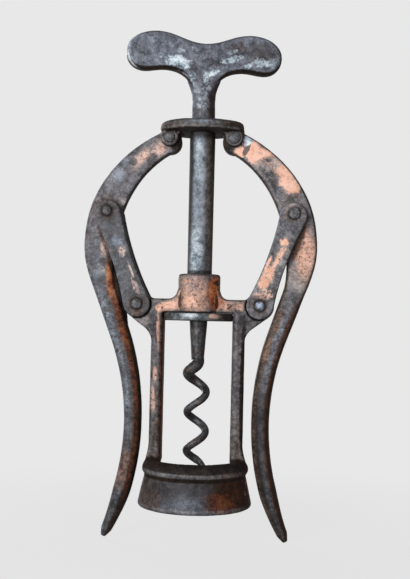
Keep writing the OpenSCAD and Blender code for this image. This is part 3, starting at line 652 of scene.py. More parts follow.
# handle with its two lobes
handleLook = {
    "name": "handlePatinaShadeAndHighlight", "shift": 5.0, "grain": 0.9, "rubOnset": 0.05,
    "tones": ((74, 74, 82), (102, 105, 116), (130, 135, 146)),
    "metallic": 0.2, "roughness": 0.46, "sheenBreak": 1.0, "specular": 0.2, "bump": 0.3, "bumpDepth": 0.08,
    "layers": [
        coat("platingAndHighlight", side="Back", scatter=(7, 0.6), amount=0.8),
        frontCoat(
            "brown", (-22.1, 157.2, 2.6, 3.2, 0, 0.5), (0.4, 145.7, 2.0, 2.6, 0, 0.5),
            (13.0, 159.1, 3.4, 1.8, 0, 0.6), (0.5, 134.5, 4.2, 3.4, 0, 0.4), soft=0.6, amount=0.4),
        frontCoat("blueSteelAndHighlight", (-17.0, 156.5, 7.0, 4.4, 0, 0.5), soft=0.6, amount=0.35),
        frontCoat(
            "slate", (20.0, 158.4, 7.0, 3.6, 0, 0.6), (5.0, 153.4, 3.0, 1.4, 0, 0.6),
            (-4.0, 151.4, 1.4, 1.4, 0, 0.6), soft=0.5, amount=0.75),
        coat("brown", scatter=(6, 0.57), amount=0.3),
        coat("slate", scatter=(4, 0.58), amount=0.4),
        frontCoat(
            "platingAndHighlight", (-8.6, 157.4, 1.3, 0.9, 0, 0.7), (-3.5, 158.4, 1.3, 0.7, -20, 0.7),
            (10.5, 157.8, 1.7, 0.7, 20, 0.7), (-4.1, 148.3, 1.2, 1.2, 0, 0.7),
            (2.0, 143.7, 1.0, 0.8, 0, 0.7), soft=0.4, amount=0.55),
        frontCoat(
            "platingAndHighlight", (-10.0, 153.3, 4.8, 2.2, -8, 0.6), (-7.4, 152.0, 2.4, 1.5, -20, 0.6),
            (0.9, 147.3, 1.0, 2.6, 8, 0.8), (3.3, 149.6, 2.5, 0.9, 35, 0.8), soft=0.25, flecked=(2.2, 0.57)),
        frontCoat("platingAndHighlight", (-9.8, 153.1, 3.9, 1.5, -8, 0.7), soft=0.3, amount=0.8),
        frontCoat(
            "platingAndHighlight", (9.8, 154.7, 3.8, 1.2, 18, 0.9), (16.2, 152.9, 1.9, 0.9, 28, 0.8),
            (22.0, 154.3, 3.6, 1.4, 0, 1.0), soft=0.3, amount=0.75, flecked=(1.8, 0.55)),
        frontCoat("platingAndHighlight", (0.2, 139.6, 2.4, 4.4, 0, 1.0), soft=0.5, amount=0.4, flecked=(1.4, 0.47)),
        coat("deepRustAndShade", (4.0, 138, 1.6, 8, 0, 0.4), soft=0.5, amount=0.6),
        # painted shade on the right side, top and underside
        sideCoat("shadeAndGrime", "Right", 0.8, (0.25, 0.7)),
        sideCoat("shadeAndGrime", "Top", 0.6, (0.3, 0.8)),
        sideCoat("shadeAndGrime", "Under", 1.0, (0.1, 0.45)),
        # painted highlight on the rubbed left edges
        coat("platingAndHighlight", side="Left", on="Edge", turn=(0.1, 0.4), amount=0.7),
    ],
}
neckRings = (  # height, half width and half depth, mm
    (133.6, 4.4, 3.9), (139.0, 4.25, 3.6), (142.0, 4.45, 3.4), (143.2, 4.75, 3.2), (144.4, 5.15, 3.0),
    (145.5, 5.6, 2.8), (146.6, 6.1, 2.6), (148.0, 6.3, 2.4), (150.0, 5.0, 2.2),
)
neckSides = 64


# the neck widens towards the lobes
def fillNeck(shape):
    rings = []
    for height, reach, depth in neckRings:
        turns = [math.tau * step / neckSides for step in range(neckSides)]
        spots = [(reach * math.cos(a) * mm, depth * math.sin(a) * mm, height * mm) for a in turns]
        rings.append([shape.verts.new(spot) for spot in spots])
    for low, high in zip(rings, rings[1:]):
        for step in range(neckSides):
            following = (step + 1) % neckSides
            shape.faces.new((low[step], low[following], high[following], high[step]))
    shape.faces.new(reversed(rings[0]))
    shape.faces.new(rings[-1])


handleWork = {
    "voxel": 0.27, "smooth": 8, "rubSteps": 16, "wave": (0.14, 6.0), "grain": (0.03, 1.0),
    "swell": (0.04, 0.04, 0.04), "seed": 29.0,
}
handle = dressNode("handle", "turningHandle", makeFinish(handleLook), handleWork, fillNeck)
handOver(handle, "screw", "handle", "handle")


# levers: plates above, rods below; the long eye at the elbow is filled to the round one of the real lever
eyeFill = {"radius": 3.2, "length": 5.0, "discs": 3, "sides": 40, "faceGap": 0.14}  # mm
innerFill = {  # mm, on the left lever: places along its inner edge with the fill's radius
    "spots": (
        (-33.6, 81.5, 0.5), (-31.6, 75.0, 1.3), (-29.0, 66.8, 1.35), (-27.4, 61.0, 0.9), (-26.4, 56.5, 0.4)),
    "sides": 24,
}


# the left lever comes closer to its links below the elbow
def fillInner(shape):
    spots = innerFill["spots"]
    for (x, z, reach), (nextX, nextZ, nextReach) in zip(spots, spots[1:]):
        first, last = Vector((x * mm, 0, z * mm)), Vector((nextX * mm, 0, nextZ * mm))
        along = last - first
        turned = along.to_track_quat("Z", "Y").to_matrix().to_4x4()
        place = Matrix.Translation((first + last) / 2) @ turned
        bmesh.ops.create_cone(
            shape, cap_ends=True, segments=innerFill["sides"], radius1=reach * mm, radius2=nextReach * mm,
            depth=along.length, matrix=place)


def fillEye(shape, side):
    elbow = elbowRight if side > 0 else mirrored(elbowRight)
    pivot = collarPivotRight if side > 0 else mirrored(collarPivotRight)
    towards = (pivot - elbow).normalized()
    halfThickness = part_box("link_right_back")[0].y - eyeFill["faceGap"] * mm
    for step in range(eyeFill["discs"]):
        middle = elbow + towards * eyeFill["length"] * mm * step / (eyeFill["discs"] - 1)
        place = Matrix.Translation((middle.x, 0, middle.z)) @ Matrix.Rotation(math.pi / 2, 4, "X")
        bmesh.ops.create_cone(
            shape, cap_ends=True, segments=eyeFill["sides"], radius1=eyeFill["radius"] * mm,
            radius2=eyeFill["radius"] * mm, depth=2 * halfThickness, matrix=place)
    if side < 0:
        fillInner(shape)


rodRow = 1.0 * mm


# stores how far a point lies from the middle of its lever's width: -1 at the left edge, 1 at the right
def storeAcross(piece):
    places = numpy.empty(len(piece.data.vertices) * 3)
    piece.data.vertices.foreach_get("co", places)
    x, z = places[0::3], places[2::3]
    rows = ((z - z.min()) / rodRow).astype(int)
    low = numpy.full(rows.max() + 1, numpy.inf)
    high = -low
    numpy.minimum.at(low, rows, x)
    numpy.maximum.at(high, rows, x)
    across = (2 * x - low[rows] - high[rows]) / (high[rows] - low[rows])
    piece.data.attributes.new("across", "FLOAT", "POINT").data.foreach_set("value", across)


# a painted shadow line on the lever beside its link, out to the side of the link's middle
def linkShadowLine(side, out, along, reach, width):
    elbow, pivot = linkEnds[side]
    run = (pivot - elbow).normalized()
    beside = Vector((-run.z * side, 0, run.x * side))
    spot = elbow + run * along * mm + beside * out * mm
    return (spot.x / mm, spot.z / mm, reach, width, math.degrees(math.atan2(run.z, run.x)), 0.2)


linkEnds = {
    1: (elbowRight, framePivotRight), -1: (mirrored(elbowRight), mirrored(framePivotRight)),
}
leverBase = {
    "grain": 1.0, "rubOnset": 0.06, "tones": ((62, 60, 63), (97, 95, 99), (128, 127, 132)),
    "metallic": 0.15, "roughness": 0.5, "sheenBreak": 1.2, "specular": 0.18, "bump": 0.4, "bumpDepth": 0.1,
}
leverRightLayers = [
    coat("copper", side="Back", scatter=(11, 0.56)),
    coat("iron", (25, 18, 24, 52, 0, 0.1), soft=0.2, amount=0.9),
    # painted highlight down the middle of the rod
    frontCoat("grey", (30, 50, 8, 18, 0, 0.4), turn=(0.6, 0.97), soft=0.5, amount=0.5, flecked=(1.8, 0.54)),
    frontCoat(
        "blueSteelAndHighlight", (30, 50, 8, 18, 0, 0.4), turn=(0.7, 0.98), soft=0.5, amount=0.3, flecked=(1.4, 0.5)),
    coat("brown", (26, 44, 12, 27, 0, 0.15), across=(-0.15, -0.5), soft=0.3, amount=0.85),
    frontCoat(
        "orange", (25.4, 48.0, 1.2, 5.5, -14, 0.5), (29.4, 58.4, 1.0, 4.0, -22, 0.5), soft=0.5, amount=0.5,
        flecked=(1.4, 0.5)),
    coat("shadeAndGrime", (22, 0, 16, 26, 0, 0.15), across=(0.0, -0.4), soft=0.4, amount=0.8),
    # reddish painted shade on the right part of the rod and darker painted shade at its right edge
    coat("deepRustAndShade", (25, 18, 24, 54, 0, 0.1), across=(0.2, 0.5), soft=0.2, amount=0.9),
    coat("shadeAndGrime", (25, 18, 24, 54, 0, 0.1), across=(0.5, 0.9), soft=0.2, amount=0.6),
    frontCoat("paleGrey", (33.6, 101.5, 5.5, 4.5, 0, 0.5), soft=0.5, amount=0.35),
    frontCoat(
        "paleGrey", (37.2, 75.0, 4.4, 6.0, 10, 0.5), (24.5, 115.5, 5.4, 4.4, -45, 0.4), soft=0.45,
        amount=0.85),
    frontCoat("paleCopper", (27.6, 115.6, 4.6, 2.6, -45, 0.5), (23.0, 118.0, 4.0, 3.0, -45, 0.5), soft=0.5),
    frontCoat(
        "copper", (21.0, 120.8, 6.2, 4.8, -42, 0.4), (31.4, 110.6, 5.4, 3.7, -52, 0.45),
        (14.0, 120.4, 2.2, 2.2, -35, 0.3), soft=0.16),
    frontCoat(
        "paleCopper", (21.0, 119.0, 7, 6, -42, 0.4), (31.0, 111.0, 6, 4.4, -52, 0.4), scatter=(2.2, 0.57),
        amount=0.6),
    frontCoat("oldCopper", (38.4, 84.0, 4.4, 9.4, 4, 0.4), soft=0.5, grain=1.5),
    frontCoat("copper", (38.4, 83.6, 3.8, 7.4, 4, 0.6), soft=0.4, amount=0.6, flecked=(1.4, 0.5)),
    # painted shadow beside the link and round its end
    frontCoat("shadeAndGrime", linkShadowLine(1, 5.0, 10, 8, 1.3), soft=0.4, amount=0.8),
    frontCoat("shadeAndGrime", *ringStainsAndShadows(linkEnds[1][:1], 4.9, 0.2), soft=0.3, amount=0.5),
    frontCoat("shadeAndGrime", (38.2, 86.0, 5, 6, 0, 0.4), scatter=(1.5, 0.62), amount=0.7),
    frontCoat(
        "grey", (22.4, 123.1, 2.4, 1.1, -35, 0.6), (22.4, 115.6, 2.4, 1.9, -40, 0.7),
        (23.4, 113.2, 2.8, 1.9, -45, 0.7), (24.9, 117.7, 1.9, 1.5, -40, 0.8),
        (26.6, 110.9, 2.4, 2.4, -50, 0.6), soft=0.45, amount=0.8),
    frontCoat(
        "slate", (22.1, 114.1, 1.6, 1.2, 0, 0.9), (24.3, 112.5, 1.6, 1.0, 0, 0.9),
        (26.6, 109.4, 1.6, 2.0, 0, 0.9), (24.6, 117.7, 1.2, 0.8, 0, 0.9), soft=0.6, amount=0.75),
    frontCoat("slate", (16.4, 121.6, 2.9, 1.0, 63, 0.2), soft=0.15, amount=0.85),
    frontCoat("platingAndHighlight", (17.3, 125.5, 3.0, 1.7, 65, 0.2), soft=0.12, flecked=(0.9, 0.6)),
    # painted shade under the collar beside the ear
    frontCoat("shadeAndGrime", (8.4, 123.6, 3.6, 4.4, 0, 0.2), soft=0.4, amount=0.9),
    # painted shade on the left edge and right side
    sideCoat("brown", "Left", 0.85, (0.2, 0.7)),
    sideCoat("shadeAndGrime", "Right", 0.85, (0.12, 0.6)),
    coat("brown", side="Right", turn=(0.8, 0.98), scatter=(6, 0.48), amount=0.9),
    coat("oldCopper", side="Right", turn=(0.85, 0.99), scatter=(7, 0.56), amount=0.8),
    # painted shade on the top and underside
    sideCoat("shadeAndGrime", "Top", 0.6, (0.3, 0.8)),
    sideCoat("shadeAndGrime", "Under", 0.8, (0.2, 0.7)),
    coat("shadeAndGrime", on="Hollow", amount=0.6),
    coat("shadeAndGrime", on="Edge", amount=0.5),
]
leverLeftLayers = [
    coat("copper", side="Back", scatter=(10, 0.58)),
    coat("iron", (-27, 18, 22, 56, 0, 0.15), soft=0.3, amount=0.65),
    frontCoat("slate", (-37.5, 76, 3.5, 10, 0, 0.5), soft=0.5, amount=0.45),
    frontCoat(
        "blueSteelAndHighlight", (-28.1, 116.8, 1.6, 2.0, 0, 0.8), (-30.9, 111.3, 2.4, 3.0, 0, 0.8),
        (-37.5, 78.9, 1.8, 6.0, 0, 0.6), soft=0.5, amount=0.3),
    # painted highlight left of the rod's middle
    coat(
        "blueSteelAndHighlight", (-31, 54, 6, 16, 14, 0.4), (-27.5, 28, 4, 10, 0, 0.5), across=(-0.1, -0.45), soft=0.5,
        amount=0.35, flecked=(1.6, 0.52)),
    frontCoat(
        "paleCopper", (-22.6, 117.6, 4.2, 1.9, 52, 0.5), (-16.2, 121.0, 4.4, 2.4, 38, 0.5),
        (-35.4, 83.7, 1.3, 2.6, 0, 0.5), soft=0.5),
    frontCoat(
        "paleGrey", (-36.2, 80.8, 0.9, 1.2, 0, 0.8), (-35.6, 76.6, 1.1, 1.6, 0, 0.8),
        (-28.4, 101.8, 1.6, 0.9, -30, 0.9), soft=0.5, amount=0.8, flecked=(0.9, 0.5)),
    frontCoat(
        "copper", (-21.4, 118.6, 3.0, 1.3, 52, 0.5), (-14.8, 121.4, 2.4, 1.4, 30, 0.5), soft=0.5, amount=0.5,
        flecked=(1.4, 0.52)),
    frontCoat("brown", scatter=(3.4, 0.55), amount=0.4),
    frontCoat("slate", scatter=(1.5, 0.6), amount=0.55),
    frontCoat(
        "slate", (-18.6, 117.0, 1.7, 1.7, 0, 0.6), (-17.8, 118.5, 1.3, 1.0, 0, 0.6),
        (-19.8, 113.7, 1.3, 0.9, 0, 0.6), (-25.2, 116.2, 1.3, 1.3, 0, 0.6), (-35.5, 79.0, 1.4, 1.8, 0, 0.6),
        soft=0.45, amount=0.8),
    # painted shade under the collar beside the ear
    frontCoat("shadeAndGrime", (-8.4, 123.6, 3.6, 4.4, 0, 0.2), soft=0.4, amount=0.9),
    # reddish painted shadow beside the link and round its end
    frontCoat(
        "deepRustAndShade", linkShadowLine(-1, 4.7, 9, 9, 0.8), *ringStainsAndShadows(linkEnds[-1][:1], 5.3, 0.3), soft=0.4,
        amount=0.75),
    frontCoat("orange", (-32.4, 72.6, 1.7, 7.4, 6, 0.3), soft=0.3),
    frontCoat("ember", (-32.6, 72.6, 1.3, 6.4, 6, 0.4), soft=0.4, amount=0.5),
    coat("orange", (-25.6, 4.0, 5.0, 6.5, 0, 0.4), across=(0.35, 0.1), soft=0.5, amount=0.35),
    coat("iron", (-33, -16, 9, 9, 0, 0.3), soft=0.4, amount=0.6),
    # rust on the rod's right part, darkened as painted shade
    coat("deepRustAndShade", (-26, 24, 20, 44, 0, 0.15), across=(0.02, 0.35), soft=0.2, amount=0.95),
    coat("rust", (-29.4, 58, 6, 9, 0, 0.3), across=(0.0, 0.25), soft=0.4, amount=0.6),
    # painted shade at the rod's right edge
    coat("shadeAndGrime", (-26, 24, 20, 44, 0, 0.1), across=(0.55, 0.85), soft=0.2, amount=0.75),
    coat("shadeAndGrime", (-31, -16, 12, 13, 0, 0.2), across=(-0.1, 0.2), soft=0.4, amount=0.8),
    # painted shadow between the lever and its link
    coat("shadeAndGrime", (-30, 70, 9, 12, 0, 0.1), across=(0.5, 0.68), soft=0.2, amount=0.95),
    # painted shade on the right side, the rod's left edge and the underside
    sideCoat("shadeAndGrime", "Right", 0.85, (0.35, 0.85)),
    coat("shadeAndGrime", (-26, 12, 16, 56, 0, 0.1), across=(-0.75, -1.0), amount=0.6, soft=0.3),
    sideCoat("shadeAndGrime", "Under", 0.8, (0.2, 0.7)),
    coat("shadeAndGrime", on="Hollow", amount=0.6),
    # painted highlight on the rubbed left edges
    coat("blueSteelAndHighlight", side="Left", on="Edge", amount=0.5),
]
leverWork = {
    "voxel": 0.29, "smooth": 14, "rubSteps": 14, "wave": (0.16, 8.0), "grain": (0.04, 1.3),
    "swell": (0.09, 0.02, 0.09),
}
leverSides = {
    "left": {"side": -1, "shift": 33.0, "seed": 41.0, "layers": leverLeftLayers},
    "right": {"side": 1, "shift": 47.0, "seed": 59.0, "layers": leverRightLayers},
}
for sideName, own in leverSides.items():
    look = {
        **leverBase, "name": "leverPatinaShadeAndHighlight." + sideName, "shift": own["shift"], "layers": own["layers"],
    }
    lever = dressNode(
        "lever_" + sideName, "lever." + sideName, makeFinish(look), {**leverWork, "seed": own["seed"]},
        lambda shape, side=own["side"]: fillEye(shape, side))
    storeAcross(lever)
    handOver(lever, "lever_" + sideName, "lever", "lever_" + sideName)


# links, a pair on each side
linkTones = {
    -1: ((52, 51, 54), (78, 78, 82), (106, 107, 113)),
    1: ((66, 65, 68), (100, 99, 103), (132, 131, 136)),
}
linkBase = {
    "grain": 1.1, "rubOnset": 0.04,
    "metallic": 0.15, "roughness": 0.5, "sheenBreak": 1.2, "specular": 0.18, "bump": 0.4, "bumpDepth": 0.1,
}
linkWear = {
    1: [
        frontCoat(
            "paleGrey", (29.4, 82.4, 6.4, 2.0, 66, 0.6), (24.6, 73.6, 5.6, 2.8, 62, 0.5), soft=0.5,
            amount=0.7),
        frontCoat(
            "copper", (31.0, 87.3, 1.6, 1.2, 0, 0.8), (29.0, 81.9, 5.0, 1.1, 62, 0.6),
            (24.8, 74.6, 4.3, 2.0, 62, 0.5), (25.0, 79.6, 2.4, 0.5, 66, 0.7), soft=0.3, flecked=(1.2, 0.58)),
        frontCoat("slate", (26, 77, 5, 12, 0, 0.4), scatter=(1.4, 0.6), amount=0.7),
        frontCoat("copper", (23.8, 68.4, 2.6, 1.6, 0, 0.6), amount=0.8, flecked=(1.0, 0.46)),
        frontCoat("slate", (33.4, 92.4, 2.0, 1.6, 0, 0.6), soft=0.4, amount=0.6),
        frontCoat(
            "paleCopper", (elbowRight.x / mm - 2.9, elbowRight.z / mm + 0.8, 0.6, 1.8, -15, 0.7),
            (elbowRight.x / mm - 1.0, elbowRight.z / mm + 3.0, 1.6, 0.5, 20, 0.7), soft=0.5, amount=0.7,
            flecked=(1.0, 0.52)),
    ],
    -1: [
        frontCoat("blueSteelAndHighlight", (-30.4, 86.4, 1.8, 1.8, 0, 0.6), soft=0.5, amount=0.6),
        frontCoat("brown", scatter=(3.0, 0.56), amount=0.5),
        frontCoat(
            "paleCopper", (-28.3, 83.3, 1.3, 1.8, 0, 0.9), (-22.8, 69.9, 3.2, 0.8, -66, 0.9),
            (-24.8, 76.3, 2.8, 0.4, -68, 0.8), soft=0.4, flecked=(0.9, 0.53)),
        frontCoat("brown", (-21.6, 60.6, 2.6, 1.6, -30, 0.5), soft=0.4, amount=0.7),
    ],
}
linkWork = {
    "voxel": 0.22, "smooth": 6, "rubSteps": 16, "wave": (0.1, 6.0), "grain": (0.03, 1.1),
    "swell": (0.22, 0.03, 0.22),
}
linkShift = {-1: {"front": 57.0, "back": 55.0}, 1: {"front": 67.0, "back": 65.0}}  # also the seed


def linkLayers(side):
    wide, narrow = ringStainsAndShadows(linkEnds[side], 3.4, 0.4), ringStainsAndShadows(linkEnds[side], 2.45, 0.2)
    return [
        coat("copper", side="Back", scatter=(8, 0.57)), *linkWear[side],
        frontCoat("brown", *wide, soft=0.4, amount=0.6),
        frontCoat("shadeAndGrime", *narrow, soft=0.2, amount=0.8),
        coat("shadeAndGrime", *narrow, side="Back", soft=0.2, amount=0.8),
        # painted shade on the right side and underside
        sideCoat("shadeAndGrime", "Right", 0.8, (0.15, 0.6)),
        sideCoat("shadeAndGrime", "Under", 0.8, (0.2, 0.7)),
        # painted highlight on the rubbed left edges
        coat("blueSteelAndHighlight", side="Left", on="Edge", amount=0.5),
    ]


for side, sideName in ((-1, "left"), (1, "right")):
    for place, shift in linkShift[side].items():
        node = f"link_{sideName}_{place}"
        look = {
            **linkBase, "name": f"linkPatina.{sideName}.{place}", "shift": shift, "tones": linkTones[side],
            "layers": linkLayers(side),
        }
        work = {**linkWork, "seed": shift}
        piece = dressNode(node, f"link.{sideName}.{place}", makeFinish(look), work)
        handOver(piece, "links_" + sideName, "link", node)


spinMerge = 0.0005 * mm


# turned pieces: a profile of radius and height, in metres, spun about the axis
def turnedPiece(name, profile, finish, steps=144):
    shape = bmesh.new()
    points = [shape.verts.new((radius, 0, height)) for radius, height in profile]
    edges = [shape.edges.new(pair) for pair in zip(points, points[1:])]
    bmesh.ops.spin(
        shape, geom=points + edges, cent=(0, 0, 0), axis=(0, 0, 1), angle=math.tau, steps=steps,
        use_merge=True)
    bmesh.ops.remove_doubles(shape, verts=shape.verts, dist=spinMerge)
    bmesh.ops.recalc_face_normals(shape, faces=shape.faces)
    for face in shape.faces:
        face.smooth = True
    mesh = bpy.data.meshes.new(name)
    shape.to_mesh(mesh)
    shape.free()
    mesh.materials.append(finish)
    return newPiece(name, mesh)


# an outer corner from the flat face to the side; inner is 1 on an upper face and -1 on a lower one
def roundedEdge(radius, height, rounding, inner, steps=5):
    turns = [math.pi / 2 * step / steps for step in range(steps + 1)]
    return [
        (radius - rounding + rounding * math.sin(a), height + inner * (rounding * math.cos(a) - rounding))
        for a in turns
    ]


# plain shank between the stop disc and the collar
shankLook = {
    "name": "rubbedSteelShadeAndHighlight", "shift": 71.0, "grain": 0.9, "rubOnset": 0.05,
    "tones": ((106, 110, 117), (136, 144, 154), (160, 170, 182)),
    "metallic": 0.3, "roughness": 0.4, "sheenBreak": 0.9, "specular": 0.2, "bump": 0.3, "bumpDepth": 0.08,
    "layers": [
        # painted highlights down the shank's left middle
        frontCoat("platingAndHighlight", (-1.6, 118.9, 2.4, 7.7, 0, 0.4), soft=0.4, amount=0.22, flecked=(2.0, 0.56)),
        frontCoat("platingAndHighlight", (-1.5, 83.8, 2.5, 8.6, 0, 0.4), soft=0.4, amount=0.85, flecked=(2.0, 0.62)),
        coat("slate", scatter=(2.5, 0.62), amount=0.5),
        # painted shade on the left edge and right side, the right one brownish
        sideCoat("shadeAndGrime", "Left", 0.9, (0.42, 0.75)),
        sideCoat("brown", "Right", 0.85, (0.1, 0.5)),
        sideCoat("shadeAndGrime", "Right", 0.8, (0.5, 0.95)),
        # painted shade under the collar plate, and a thin dark ring where the shank enters the boss
        coat("shadeAndGrime", (0, 127.5, 12, 2.6, 0, 0.2), (0, 76, 12, 0.8, 0, 0.1), soft=0.5, amount=0.8),
    ],
}
shankSize = {"edge": 0.5, "foot": 0.2, "topGap": 0.1, "plate": 3.7}  # mm; plate is the collar's thickness
shankLow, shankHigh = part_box("shank")
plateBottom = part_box("handle")[0].z - (shankSize["plate"] + shankSize["topGap"]) * mm
shank = turnedPiece("shankRod", [
    (0, shankLow.z), *reversed(roundedEdge(shankHigh.x, shankLow.z, shankSize["foot"] * mm, -1)),
    *reversed(roundedEdge(shankHigh.x, plateBottom, shankSize["edge"] * mm, 1)), (0, plateBottom),
], makeFinish(shankLook))
handOver(shank, "screw", "shank", "shank")


# stop disc
discLook = {
    "name": "discSteelShadeAndHighlight", "shift": 83.0, "grain": 1.2, "rubOnset": 0.05,
    "tones": ((54, 56, 58), (84, 88, 90), (120, 127, 132)),
    "metallic": 0.35, "roughness": 0.36, "sheenBreak": 0.9, "specular": 0.25, "bump": 0.25, "bumpDepth": 0.06,
    "layers": [
        # painted highlight left of the middle
        frontCoat("platingAndHighlight", (-2.0, 60.4, 3.0, 0.7, 0, 0.3), soft=0.6, amount=0.25),
        frontCoat("copper", (6.8, 60.0, 2.0, 0.8, 0, 0.5), soft=0.4, amount=0.7),
        frontCoat("brown", (11.0, 60.0, 3.4, 3, 0, 0.4), soft=0.3, amount=0.6),
        # painted shade on the right side, left edge and underside, and painted shadow on the top under the
        # bridge
        sideCoat("shadeAndGrime", "Right", 0.8, (0.3, 0.8)),
        sideCoat("brown", "Left", 0.6, (0.6, 0.95)),
        sideCoat("shadeAndGrime", "Under", 0.85, (0.15, 0.6)),
        sideCoat("shadeAndGrime", "Top", 0.85, (0.15, 0.6)),
    ],
}
discSize = {"edge": 0.5, "lift": 0.2}  # mm; the lift closes the running gap under the bridge
discLow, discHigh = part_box("stop_disc")
discTop = discHigh.z + discSize["lift"] * mm
disc = turnedPiece("stopDisc", [
    (0, discTop), *roundedEdge(discHigh.x, discTop, discSize["edge"] * mm, 1),
    *reversed(roundedEdge(discHigh.x, discLow.z, discSize["edge"] * mm, -1)), (0, discLow.z),
], makeFinish(discLook))
handOver(disc, "screw", "disc", "stop_disc")
print("shank and stop disc turned")


# worm: one wire along a helix that grows out of the stem and ends in a point
wormLook = {
    "name": "wormSteelAndShade", "shift": 97.0, "grain": 1.2, "rubOnset": 0.05,
    "tones": ((34, 33, 34), (58, 58, 61), (92, 94, 99)),
    "metallic": 0.2, "roughness": 0.36, "sheenBreak": 1.0, "specular": 0.3, "bump": 0.45, "bumpDepth": 0.1,
    "layers": [
        coat("brown", scatter=(5, 0.55), amount=0.6),
        coat("paleGrey", scatter=(2.2, 0.66), amount=0.5),
        # painted shade on the right side, underside and left edge
        sideCoat("shadeAndGrime", "Right", 0.75, (0.2, 0.7)),
        sideCoat("shadeAndGrime", "Under", 0.75, (0.2, 0.7)),
        sideCoat("shadeAndGrime", "Left", 0.5, (0.7, 0.95)),
    ],
}
wormSize = {  # mm and degrees
    "Stem Radius": 3.3, "Foot Radius": 2.35, "Stem Length": 13.2, "Coil Radius": 3.35, "Pitch": 14.2,
    "Wire Radius": 1.4, "Point Turn": 332.0, "Ease": 6.0, "Point Length": 4.5, "Point Radius": 0.25,
    "Neck Share": 1 / 3,
}
wormWork = {
    "voxel": 0.15, "smooth": 8, "rubSteps": 12, "wave": (0.2, 5.0), "grain": (0.04, 1.1),
    "swell": (0.03, 0.03, 0.03), "seed": 77.0,
}
wormSteps = {"points": 520, "sides": 28}


def makeWormTree():
    names = ["Top", "Point Height", *wormSize]
    ins = [(name, "Float") for name in names] + [("Finish", "Material")]
    tree, start, end = makeGroup("wormHelix", "GeometryNodeTree", ins, [("Geometry", "Geometry")])
    stemFoot = calc(tree, "SUBTRACT", start["Top"], start["Stem Length"])
    height = calc(tree, "SUBTRACT", start["Top"], start["Point Height"])
    given = {"Count": wormSteps["points"], "Start Location": (0, 0, 0), "Offset": (0, 0, 1)}
    line = outOf(tree, "GeometryNodeMeshLine", given)
    share = calc(tree, "DIVIDE", outOf(tree, "GeometryNodeInputIndex"), wormSteps["points"] - 1)
    z = calc(tree, "MULTIPLY_ADD", calc(tree, "MULTIPLY", share, -1.0), height, start["Top"])
    easeEnd = calc(tree, "SUBTRACT", stemFoot, start["Ease"])
    swing = calc(tree, "MULTIPLY", remap(tree, z, stemFoot, easeEnd), start["Coil Radius"])
    turns = calc(tree, "DIVIDE", calc(tree, "SUBTRACT", z, start["Point Height"]), start["Pitch"])
    angle = calc(tree, "MULTIPLY_ADD", turns, math.tau, calc(tree, "RADIANS", start["Point Turn"]))
    x = calc(tree, "MULTIPLY", swing, calc(tree, "COSINE", angle))
    y = calc(tree, "MULTIPLY", swing, calc(tree, "SINE", angle))
    spot = outOf(tree, "ShaderNodeCombineXYZ", {0: x, 1: y, 2: z})
    place = scaled(tree, spot, mm)
    path = outOf(tree, "GeometryNodeSetPosition", {"Geometry": line, "Position": place})
    stem = remap(tree, z, start["Top"], stemFoot, start["Stem Radius"], start["Foot Radius"], False)
    coilHeight = calc(tree, "SUBTRACT", stemFoot, start["Point Height"])
    neckShare = calc(tree, "MULTIPLY", start["Neck Share"], -1.0)
    neckEnd = calc(tree, "MULTIPLY_ADD", neckShare, coilHeight, stemFoot)
    wire = remap(tree, z, stemFoot, neckEnd, start["Foot Radius"], start["Wire Radius"])
    full = calc(tree, "SUBTRACT", calc(tree, "ADD", stem, wire), start["Foot Radius"])
    pointEnd = calc(tree, "ADD", start["Point Length"], start["Point Height"])
    taper = remap(tree, z, start["Point Height"], pointEnd, smooth=False)
    thin = calc(tree, "SUBTRACT", full, start["Point Radius"])
    radius = calc(tree, "MULTIPLY", calc(tree, "MULTIPLY_ADD", thin, taper, start["Point Radius"]), mm)
    curve = outOf(tree, "GeometryNodeMeshToCurve", {0: path})
    given = {"Resolution": wormSteps["sides"], "Radius": 1.0}
    profile = outOf(tree, "GeometryNodeCurvePrimitiveCircle", given)
    given = {"Curve": curve, "Profile Curve": profile, "Scale": radius, "Fill Caps": True}
    tube = outOf(tree, "GeometryNodeCurveToMesh", given)
    endTree(tree, tube, start["Finish"], end)
    return tree


worm = newPiece("wormWire", bpy.data.meshes.new("wormWire"))
wormFinish = makeFinish(wormLook)
giveTree(worm, makeWormTree(), {
    "Top": discLow.z / mm, "Point Height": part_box("worm")[0].z / mm, **wormSize, "Finish": wormFinish})
wearPiece(worm, wormFinish, wormWork)
handOver(worm, "screw", "worm", "worm")


# rivets: a domed head on each side, with a stub into the plate
rivetLook = {
    "name": "rivetSteelAndShade", "shift": 109.0, "grain": 1.6, "rubOnset": 0.05,
    "tones": ((52, 50, 50), (82, 81, 82), (108, 109, 112)),
    "metallic": 0.2, "roughness": 0.45, "sheenBreak": 1.0, "specular": 0.2, "bump": 0.4, "bumpDepth": 0.1,
    "layers": [
        frontCoat("slate", (11.9, 125.4, 3.0, 3.0, 0, 0.4), soft=0.4, amount=0.6),
        frontCoat("blueSteelAndHighlight", (22.4, 64.2, 1.3, 1.3, 0, 0.5), soft=0.4),
        frontCoat("blueSteelAndHighlight", scatter=(3, 0.57), amount=0.3),
        # painted shade on the undersides and right sides
        sideCoat("shadeAndGrime", "Under", 0.8),
        sideCoat("shadeAndGrime", "Right", 0.7),
    ],
}
rivetSize = {"Rim": 0.35, "Dome": 0.45, "Stub Radius": 1.5, "Dent": 0.22, "Seed": 4}
rivetSolid = {"headHeight": 0.9, "clear": 0.05}  # mm; the heads' undersides lie on the plates
rivetMesh = {
    "sides": 40, "rims": 2, "rings": 7, "stubSides": 32, "domePower": 2.6, "dentScale": 0.8, "dentDetail": 1,
}


